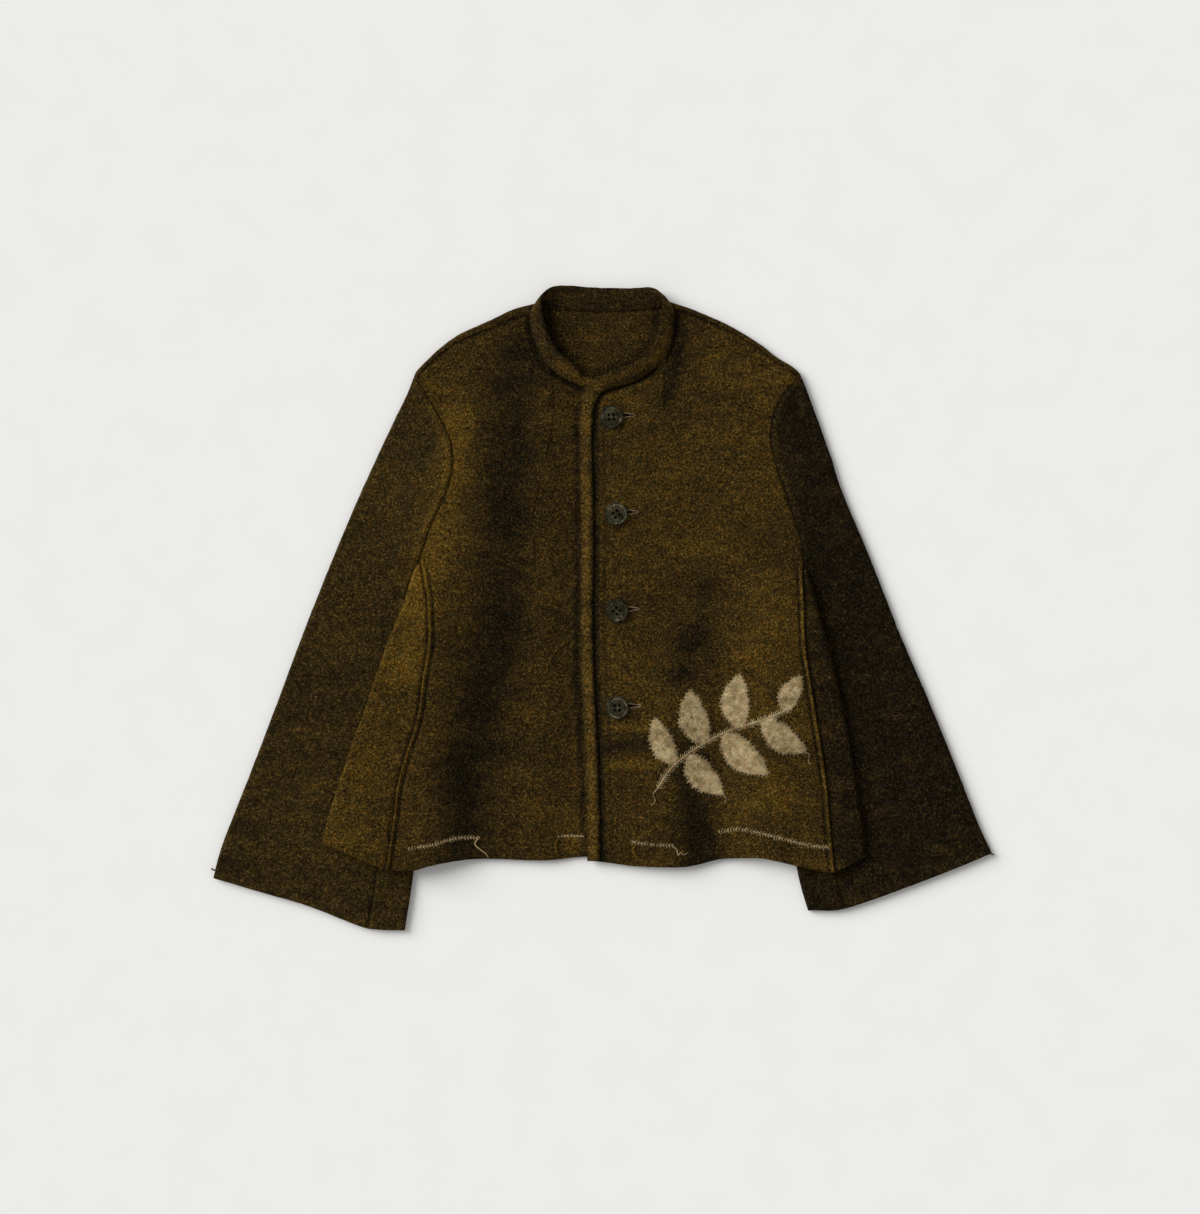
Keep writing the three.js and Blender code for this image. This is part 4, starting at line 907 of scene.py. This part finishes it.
buttonSizes = {"radius": 12, "thickness": 4.4, "hole": 1.1, "holeDepth": 3.2, "spread": 3.4,
               "clear": 0.3, "rim": 1.9, "rings": 44, "turns": 120, "relief": 0.2}
buttonPlaces = [{"x": 9, "y": 196, "turn": 0.1}, {"x": 14, "y": 96.5, "turn": 0.55},
                {"x": 14.5, "y": -3, "turn": 0.9}, {"x": 15, "y": -102.5, "turn": 0.0}]
slits = {"above": 2, "halfWidth": 1.9, "length": (24, 22, 22, 23.5), "tip": 0.25, "lip": 0.62,
         "lipAway": 2.35}


def buttonSeat(place):
    under = [float(leftFrontZ(np.array([place["x"] + part * buttonSizes["radius"], place["y"]])))
             for part in (-1, 0, 1)]
    return max(under) + half + buttonSizes["clear"]


# A carved horn button: a low dome inside a raised rim, four blind holes, and its thread stem
def buildButton(number, place):
    size, thick = buttonSizes["radius"], buttonSizes["thickness"]
    rim = buttonSizes["rim"]
    r = np.linspace(0.12, size - rim, buttonSizes["rings"])
    r = np.concatenate([r, size - rim * (1 - steps(12)[1:])])
    a = np.arange(buttonSizes["turns"]) * 2 * math.pi / buttonSizes["turns"]
    rr, aa = np.meshgrid(r, a, indexing="ij")
    x, y = rr * np.cos(aa), rr * np.sin(aa)
    z = thick - 0.45 - 0.55 * (rr / size) ** 2 + 0.62 * bell(rr - size + 1.05, 0.85)
    z = z - 0.5 * bell(rr - size + 2.5, 0.6) - 1.5 * smooth((rr - size + 0.75) / 0.75)
    turned = aa + place["turn"] * 2 * math.pi
    petals = np.cos(5 * turned + 0.9 * np.sin(rr * 0.8)) * bell(rr - 6.7, 2.1)
    flat = np.stack([x, y, rr * 0], -1)
    z = z + buttonSizes["relief"] * petals + 0.11 * noise(flat + number * 31, 1.4, 51)
    z = z + 0.12 * noise(flat + number * 17, 4, 52)
    for k in range(4):
        turn, spread = math.pi / 2 * k + math.pi / 4 + place["turn"], buttonSizes["spread"]
        away = np.hypot(x - spread * math.cos(turn), y - spread * math.sin(turn))
        z = z - buttonSizes["holeDepth"] * smooth((buttonSizes["hole"] + 0.22 - away) / 0.4)
        z = z + 0.2 * bell(away - 1.6, 0.35)
    shaken = 1 + 0.008 * np.sin(3 * aa + number)
    rings = [np.stack([x * shaken, y * shaken, z], -1)]
    for radius, level in ((size, 2.6), (size, 1.5), (size - 0.9, 0.6), (size - 2.4, 0.05), (0.12, 0.0)):
        ring = np.stack([radius * np.cos(a), radius * np.sin(a), np.full(len(a), level)], -1)
        rings.append(ring[None])
    verts, faces = closedRings(np.concatenate(rings)[:, ::-1])
    seat = buttonSeat(place)
    middle = np.array([place["x"], place["y"], seat])
    floorZ = float(rightFrontZ(middle[:2])) + half + buttonSizes["clear"]
    t = steps(14)
    stem = raised(np.broadcast_to([place["x"], place["y"] + slits["above"]], (15, 2)),
                  mix(floorZ, seat + 0.4, t))
    button = pieceOf("horn_button_%d" % number, [(verts + middle, faces)], 0.1 * math.sin(number * 2.2))
    # Painted shade: the insides of the blind holes are stored at tone 0, so they colour darkest
    inside = np.hypot(verts[:, 0], verts[:, 1]) < size - 3
    shadedHoles = inside & (verts[:, 2] > 0.3) & (verts[:, 2] < thick - 1.7)
    button.data.attributes["dyeAndShading"].data.foreach_set("value", np.where(shadedHoles, 0, 0.5).astype(np.float32))
    sewn = [thread(stem, 1.25 + 0.12 * np.sin(t * 34), 14)]
    for k in (0, 2):
        ends = [math.pi / 2 * (k + e) + math.pi / 4 + place["turn"] for e in (0, 1)]
        plan = np.array([[math.cos(e), math.sin(e)] for e in ends]) * buttonSizes["spread"]
        path = mix(plan[0], plan[1], steps(10)[:, None]) + middle[:2]
        level = seat + thick - 1.6 + 0.95 * np.sin(math.pi * steps(10)) ** 0.5
        sewn.append(thread(raised(path, level), 0.3, 6))
    return button, pieceOf("button_thread_%d" % number, sewn, -0.2)


def slitOutline(place, length):
    x, y = place["x"], place["y"] + slits["above"]
    turns = np.linspace(math.pi / 2, math.pi * 1.5, 12)
    back = [(x + 1.2 + slits["halfWidth"] * math.cos(t), y + slits["halfWidth"] * math.sin(t)) for t in turns]
    return np.array([*back, (x + 13, y - slits["halfWidth"] * 0.9), (x + length, y - slits["tip"]),
                     (x + length, y + slits["tip"]), (x + 13, y + slits["halfWidth"] * 0.9)])


# Cuts the four buttonholes into the left front
def cutSlits(piece):
    verts, faces, start = [], [], 0
    for place, length in zip(buttonPlaces, slits["length"]):
        line = slitOutline(place, length)
        n = len(line)
        level = float(leftFrontZ(line[0]))
        verts += [raised(line, level - 4), raised(line, level + 5),
                  np.array([[*line.mean(0), level - 4], [*line.mean(0), level + 5]])]
        k = np.arange(n)
        after = (k + 1) % n
        faces += [np.stack(part, -1) + start for part in (
            (k, after, after + n), (k, after + n, k + n),
            (after, k, np.full(n, 2 * n)), (k + n, after + n, np.full(n, 2 * n + 1)))]
        start += 2 * n + 2
    cutter = meshPiece("slitCutter", np.vstack(verts), np.vstack(faces), False)
    modifier = piece.modifiers.new("slits", "BOOLEAN")
    modifier.operation, modifier.solver, modifier.object = "DIFFERENCE", "MANIFOLD", cutter
    cut = bpy.data.meshes.new_from_object(piece.evaluated_get(bpy.context.evaluated_depsgraph_get()))
    piece.modifiers.clear()
    before, piece.data = piece.data, cut
    bpy.data.meshes.remove(before)
    bpy.data.objects.remove(cutter)


# A stitched lip round each buttonhole: a cord with its wraps
def buildLips():
    parts = []
    for place, length in zip(buttonPlaces, slits["length"]):
        x, y, away = place["x"], place["y"] + slits["above"], slits["lipAway"]
        line = curve([(x + 1, y + away), (x + 8, y + away), (x + 14, y + away * 0.92),
                      (x + length - 4, y + away * 0.56), (x + length + 0.2, y + away * 0.36),
                      (x + length + 0.9, y), (x + length + 0.2, y - away * 0.36),
                      (x + length - 4, y - away * 0.56), (x + 14, y - away * 0.92), (x + 8, y - away),
                      (x + 1, y - away)])
        plan = line(steps(240))
        uneven = 1 + 0.16 * np.sin(np.arange(241) * 1.25) + 0.12 * noise(raised(plan, 0.0), 3, 55)
        wraps = slits["lip"] * uneven
        parts.append(thread(raised(plan, leftTop(plan) + 0.25), wraps, 8))
    return pieceOf("buttonhole_lips", parts, 0.2)


def socket(group, name, way, kind="NodeSocketFloat", value=None):
    item = group.interface.new_socket(name=name, in_out=way, socket_type=kind)
    if value is not None:
        item.default_value = value
    return item


def mapRange(nodes, low, high, toLow=0.0, toHigh=1.0):
    node = nodes.new("ShaderNodeMapRange")
    node.inputs["From Min"].default_value, node.inputs["From Max"].default_value = low, high
    node.inputs["To Min"].default_value, node.inputs["To Max"].default_value = toLow, toHigh
    return node


def newMaterial(name):
    material = bpy.data.materials.new(name)
    material.use_nodes = True
    return material, material.node_tree.nodes, material.node_tree.links


woolColours = ("Dark", "Middle", "Gold", "Fibre")


# Felted wool as a shader group: streaky dye, mottling and pale fibres over the stored dye and painted shading, with a
# height for bump
def woolGroup():
    group = bpy.data.node_groups.new("feltedWool", "ShaderNodeTree")
    for name in woolColours:
        socket(group, name, "INPUT", "NodeSocketColor")
    socket(group, "Speckle", "INPUT", value=0.5)
    socket(group, "Colour", "OUTPUT", "NodeSocketColor")
    socket(group, "Height", "OUTPUT")
    socket(group, "Roughness", "OUTPUT")
    nodes, links = group.nodes, group.links
    inputs, outputs = nodes.new("NodeGroupInput"), nodes.new("NodeGroupOutput")
    place = nodes.new("ShaderNodeTexCoord")

    def noiseAt(scale, detail, stretch=(1, 1, 1), rough=0.6):
        mapping = nodes.new("ShaderNodeMapping")
        mapping.inputs["Scale"].default_value = stretch
        links.new(place.outputs["Object"], mapping.inputs["Vector"])
        texture = nodes.new("ShaderNodeTexNoise")
        texture.inputs["Scale"].default_value = scale
        texture.inputs["Detail"].default_value = detail
        texture.inputs["Roughness"].default_value = rough
        links.new(mapping.outputs["Vector"], texture.inputs["Vector"])
        return texture.outputs["Fac"]

    def calc(operation, a, b, clamp=False):
        node = nodes.new("ShaderNodeMath")
        node.operation, node.use_clamp = operation, clamp
        for k, value in enumerate((a, b)):
            if isinstance(value, (int, float)):
                node.inputs[k].default_value = value
            else:
                links.new(value, node.inputs[k])
        return node.outputs[0]

    def rescale(value, *ends):
        node = mapRange(nodes, *ends)
        links.new(value, node.inputs["Value"])
        return node.outputs["Result"]

    def blend(factor, a, b, mode="MIX"):
        node = nodes.new("ShaderNodeMix")
        node.data_type, node.blend_type = "RGBA", mode
        for value, key in ((factor, 0), (a, 6), (b, 7)):
            if isinstance(value, (int, float, tuple)):
                node.inputs[key].default_value = value
            else:
                links.new(value, node.inputs[key])
        return node.outputs[2]

    dyeAndShading = nodes.new("ShaderNodeAttribute")
    dyeAndShading.attribute_name = "dyeAndShading"
    streaks = noiseAt(26, 4, (0.55, 1.9, 1))
    clouds = noiseAt(11, 3, (0.8, 1.2, 1))
    mottle = noiseAt(95, 4, (0.8, 1.2, 1))
    fibres = noiseAt(820, 3, (1, 1, 1), 0.75)
    strands = noiseAt(430, 3, (1, 1, 1), 0.8)
    fine = noiseAt(1500, 2)
    tone = calc("ADD", rescale(streaks, 0.3, 0.7, -0.13, 0.13), rescale(clouds, 0.3, 0.7, -0.1, 0.1))
    tone = calc("ADD", tone, rescale(mottle, 0.3, 0.7, -0.17, 0.17))
    tone = calc("ADD", tone, dyeAndShading.outputs["Fac"], True)
    ground = blend(rescale(tone, 0.0, 0.5), inputs.outputs["Dark"], inputs.outputs["Middle"])
    ground = blend(rescale(tone, 0.5, 1.0), ground, inputs.outputs["Gold"])
    speckle = calc("ADD", rescale(fibres, 0.3, 0.7, -0.5, 0.5), rescale(strands, 0.3, 0.7, -0.5, 0.5))
    depth = rescale(speckle, -0.48, 0.48, 0.07, 1.93)
    shade = nodes.new("ShaderNodeCombineColor")
    for key in ("Red", "Green", "Blue"):
        links.new(depth, shade.inputs[key])
    ground = blend(inputs.outputs["Speckle"], ground, blend(1.0, ground, shade.outputs[0], "MULTIPLY"))
    hue = rescale(noiseAt(250, 3), 0.38, 0.62)
    tint = blend(hue, (1.12, 0.97, 0.82, 1.0), (0.86, 1.06, 1.12, 1.0))
    ground = blend(inputs.outputs["Speckle"], ground, tint, "MULTIPLY")
    pale = calc("MULTIPLY", rescale(speckle, 0.24, 0.66), inputs.outputs["Speckle"], True)
    pale = calc("MULTIPLY", pale, rescale(tone, 0.1, 0.9, 0.25, 1.0))
    colour = blend(pale, ground, inputs.outputs["Fibre"])
    height = calc("ADD", calc("MULTIPLY", speckle, 0.5), calc("MULTIPLY", fine, 0.25))
    links.new(colour, outputs.inputs["Colour"])
    links.new(height, outputs.inputs["Height"])
    links.new(rescale(fine, 0.2, 0.8, 0.85, 1.0), outputs.inputs["Roughness"])
    return group


def linear(red, green, blue):
    return tuple((c / 255 / 12.92 if c <= 10 else ((c / 255 + 0.055) / 1.055) ** 2.4)
                 for c in (red, green, blue)) + (1.0,)


# Cloth colours are given as sRGB numbers, as they look in plain light
cloths = {
    "bodyWool": {"Dark": (25, 20, 11), "Middle": (56, 42, 17), "Gold": (92, 68, 22),
                 "Fibre": (150, 118, 50), "Speckle": 1.0},
    "sleeveWool": {"Dark": (24, 19, 11), "Middle": (52, 40, 18), "Gold": (84, 62, 23),
                   "Fibre": (140, 112, 50), "Speckle": 0.95},
    "bandWool": {"Dark": (27, 21, 12), "Middle": (57, 43, 19), "Gold": (88, 66, 25),
                 "Fibre": (140, 112, 56), "Speckle": 1.0},
    "creamFelt": {"Dark": (88, 70, 44), "Middle": (146, 125, 90), "Gold": (182, 162, 124),
                  "Fibre": (216, 202, 172), "Speckle": 0.4},
    "lipThread": {"Dark": (62, 50, 36), "Middle": (104, 88, 64), "Gold": (136, 118, 90),
                  "Fibre": (190, 176, 148), "Speckle": 0.4},
    "darkThread": {"Dark": (16, 14, 10), "Middle": (34, 29, 20), "Gold": (50, 43, 30),
                   "Fibre": (84, 74, 54), "Speckle": 0.4},
}


def woolMaterial(name, group):
    values = cloths[name]
    material, nodes, links = newMaterial(name)
    shader = nodes["Principled BSDF"]
    felt = nodes.new("ShaderNodeGroup")
    felt.node_tree = group
    for key in woolColours:
        felt.inputs[key].default_value = linear(*values[key])
    felt.inputs["Speckle"].default_value = values["Speckle"]
    bump = nodes.new("ShaderNodeBump")
    bump.inputs["Strength"].default_value = 0.9
    bump.inputs["Distance"].default_value = 0.0011
    links.new(felt.outputs["Colour"], shader.inputs["Base Color"])
    links.new(felt.outputs["Roughness"], shader.inputs["Roughness"])
    links.new(felt.outputs["Height"], bump.inputs["Height"])
    links.new(bump.outputs["Normal"], shader.inputs["Normal"])
    shader.inputs["Specular IOR Level"].default_value = 0.03
    shader.inputs["Sheen Weight"].default_value = 0.012
    shader.inputs["Sheen Roughness"].default_value = 0.5
    shader.inputs["Sheen Tint"].default_value = linear(210, 170, 90)
    return material


# Matt carved horn: grey olive, mottled, with painted highlights on its high places and painted shade in its hollows
# and holes
def hornMaterial():
    material, nodes, links = newMaterial("carvedHorn")
    shader = nodes["Principled BSDF"]
    place, cloud, fine = (nodes.new("ShaderNode" + kind) for kind in ("TexCoord", "TexNoise", "TexNoise"))
    cloud.inputs["Scale"].default_value, cloud.inputs["Detail"].default_value = 120, 3
    fine.inputs["Scale"].default_value, fine.inputs["Detail"].default_value = 900, 4
    for texture in (cloud, fine):
        links.new(place.outputs["Object"], texture.inputs["Vector"])
    colours = nodes.new("ShaderNodeValToRGB")
    stops = ((0.26, (20, 18, 12)), (0.46, (43, 40, 28)), (0.62, (60, 56, 40)), (0.82, (132, 123, 95)))
    for k, (at, colour) in enumerate(stops):
        stop = colours.color_ramp.elements[k] if k < 2 else colours.color_ramp.elements.new(at)
        stop.position, stop.color = at, linear(*colour)
    edgeCurvature = nodes.new("ShaderNodeNewGeometry")
    # Painted highlight on convex places and painted shade in concave ones, from the pointiness
    high = mapRange(nodes, 0.46, 0.56, -0.22, 0.3)
    total, toneWithHoleShade = (nodes.new("ShaderNodeMath") for k in range(2))
    toneWithHoleShade.operation = "MULTIPLY"
    # Painted shade: the blind holes take the darkest colour
    holes, holeShadeMask = nodes.new("ShaderNodeAttribute"), mapRange(nodes, 0.0, 0.5)
    holes.attribute_name = "dyeAndShading"
    roughness = mapRange(nodes, 0.0, 1.0, 0.38, 0.66)
    bump = nodes.new("ShaderNodeBump")
    bump.inputs["Strength"].default_value, bump.inputs["Distance"].default_value = 0.5, 0.0003
    for source, target in (
            (edgeCurvature.outputs["Pointiness"], high.inputs["Value"]),
            (cloud.outputs["Fac"], total.inputs[0]), (high.outputs["Result"], total.inputs[1]),
            (holes.outputs["Fac"], holeShadeMask.inputs["Value"]), (total.outputs[0], toneWithHoleShade.inputs[0]),
            (holeShadeMask.outputs["Result"], toneWithHoleShade.inputs[1]), (toneWithHoleShade.outputs[0], colours.inputs["Fac"]),
            (colours.outputs["Color"], shader.inputs["Base Color"]),
            (fine.outputs["Fac"], roughness.inputs["Value"]),
            (roughness.outputs["Result"], shader.inputs["Roughness"]),
            (fine.outputs["Fac"], bump.inputs["Height"]), (bump.outputs["Normal"], shader.inputs["Normal"])):
        links.new(source, target)
    shader.inputs["Specular IOR Level"].default_value = 0.07
    shader.inputs["Specular Tint"].default_value = linear(236, 224, 190)
    return material


def dress(piece, material):
    piece.data.materials.clear()
    piece.data.materials.append(material)
    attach(piece, "root")
    return piece


lens = {"focal": 100, "sensor": 36, "distance": 3.473, "aim": (-0.0026, 0.0010)}
light = {"sun": 3.26, "elevation": 32, "from": 152, "softness": 40, "sky": 0.45}


def buildStage():
    scene = bpy.context.scene
    camera = bpy.data.objects.new("camera", bpy.data.cameras.new("camera"))
    camera.data.lens, camera.data.sensor_width = lens["focal"], lens["sensor"]
    camera.location = (*lens["aim"], lens["distance"])
    camera.data.clip_end = 20
    scene.collection.objects.link(camera)
    scene.camera = camera
    sun = bpy.data.objects.new("keyLight", bpy.data.lights.new("keyLight", "SUN"))
    sun.data.energy, sun.data.angle = light["sun"], math.radians(light["softness"])
    sun.rotation_euler = (0, math.radians(90 - light["elevation"]), math.radians(light["from"]))
    scene.collection.objects.link(sun)
    world = bpy.data.worlds.new("softSky")
    world.use_nodes = True
    world.node_tree.nodes["Background"].inputs["Strength"].default_value = light["sky"]
    world.node_tree.nodes["Background"].inputs["Color"].default_value = (1, 0.99, 0.97, 1)
    scene.world = world
    scene.view_settings.view_transform = "Standard"
    reach = 6000
    corners = [(-reach, -reach, 0), (reach, -reach, 0), (reach, reach, 0), (-reach, reach, 0)]
    floor = meshPiece("floor", corners, [(0, 1, 2, 3)], False)
    paper, nodes, links = newMaterial("palePaper")
    shader = nodes["Principled BSDF"]
    shader.inputs["Roughness"].default_value = 0.9
    shader.inputs["Specular IOR Level"].default_value = 0.1
    grain = nodes.new("ShaderNodeTexNoise")
    grain.inputs["Scale"].default_value = 240
    tint = nodes.new("ShaderNodeMix")
    tint.data_type = "RGBA"
    tint.inputs[6].default_value, tint.inputs[7].default_value = linear(234, 234, 232), linear(238, 238, 236)
    links.new(grain.outputs["Fac"], tint.inputs[0])
    links.new(tint.outputs[2], shader.inputs["Base Color"])
    floor.data.materials.append(paper)


buildStage()
felted = woolGroup()
materials = {name: woolMaterial(name, felted) for name in cloths}
frontRight, frontLeft = buildFronts()
backPiece = buildBack()
sideRight = sidePanel("right", rightFrontZ)
sideLeft = sidePanel("left", leftFrontZ)
sleeves = {key: sleeve(key, sides[key], rightFrontZ if key == "right" else leftFrontZ)
           for key in ("right", "left")}
band = buildBand()
print("cloth is built")
for piece, node in ((frontRight, "front_right"), (frontLeft, "front_left"), (backPiece, "back"),
                    (sideRight, "side_right"), (sideLeft, "side_left")):
    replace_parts(dress(piece, materials["bodyWool"]), node)
for key, (upperPiece, underPiece) in sleeves.items():
    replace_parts(dress(upperPiece, materials["sleeveWool"]), "sleeve_top_" + key)
    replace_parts(dress(underPiece, materials["sleeveWool"]), "sleeve_under_" + key)
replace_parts(dress(band, materials["bandWool"]), "edge_band")
cutSlits(frontLeft)
print("buttonholes are cut")
horn = hornMaterial()
for number, place in enumerate(buttonPlaces, 1):
    button, sewn = buildButton(number, place)
    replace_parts(dress(button, horn), "button_%d" % number)
    dress(sewn, materials["darkThread"])
lips = dress(buildLips(), materials["lipThread"])
yarns, strands = buildHemYarn()
leaves, leafStitches = buildSprig()
for piece in (*yarns.values(), leaves, leafStitches):
    dress(piece, materials["creamFelt"])
for piece in strands.values():
    dress(piece, materials["bodyWool"])
neckSewing = dress(buildNeckStitches(), materials["lipThread"])
cuffThreads = buildCuffEnds()
for piece in cuffThreads.values():
    dress(piece, materials["lipThread"])
print("buttons, stitches and felt are on")

# Flat cuts: width and length along the cloth, and area from the solids' volumes over its thickness
for key, top, under in (("right", (0.168, 0.587, 0.0561), (0.244, 0.575, 0.0755)),
                        ("left", (0.162, 0.563, 0.0473), (0.239, 0.555, 0.0658))):
    upperPiece, underPiece = sleeves[key]
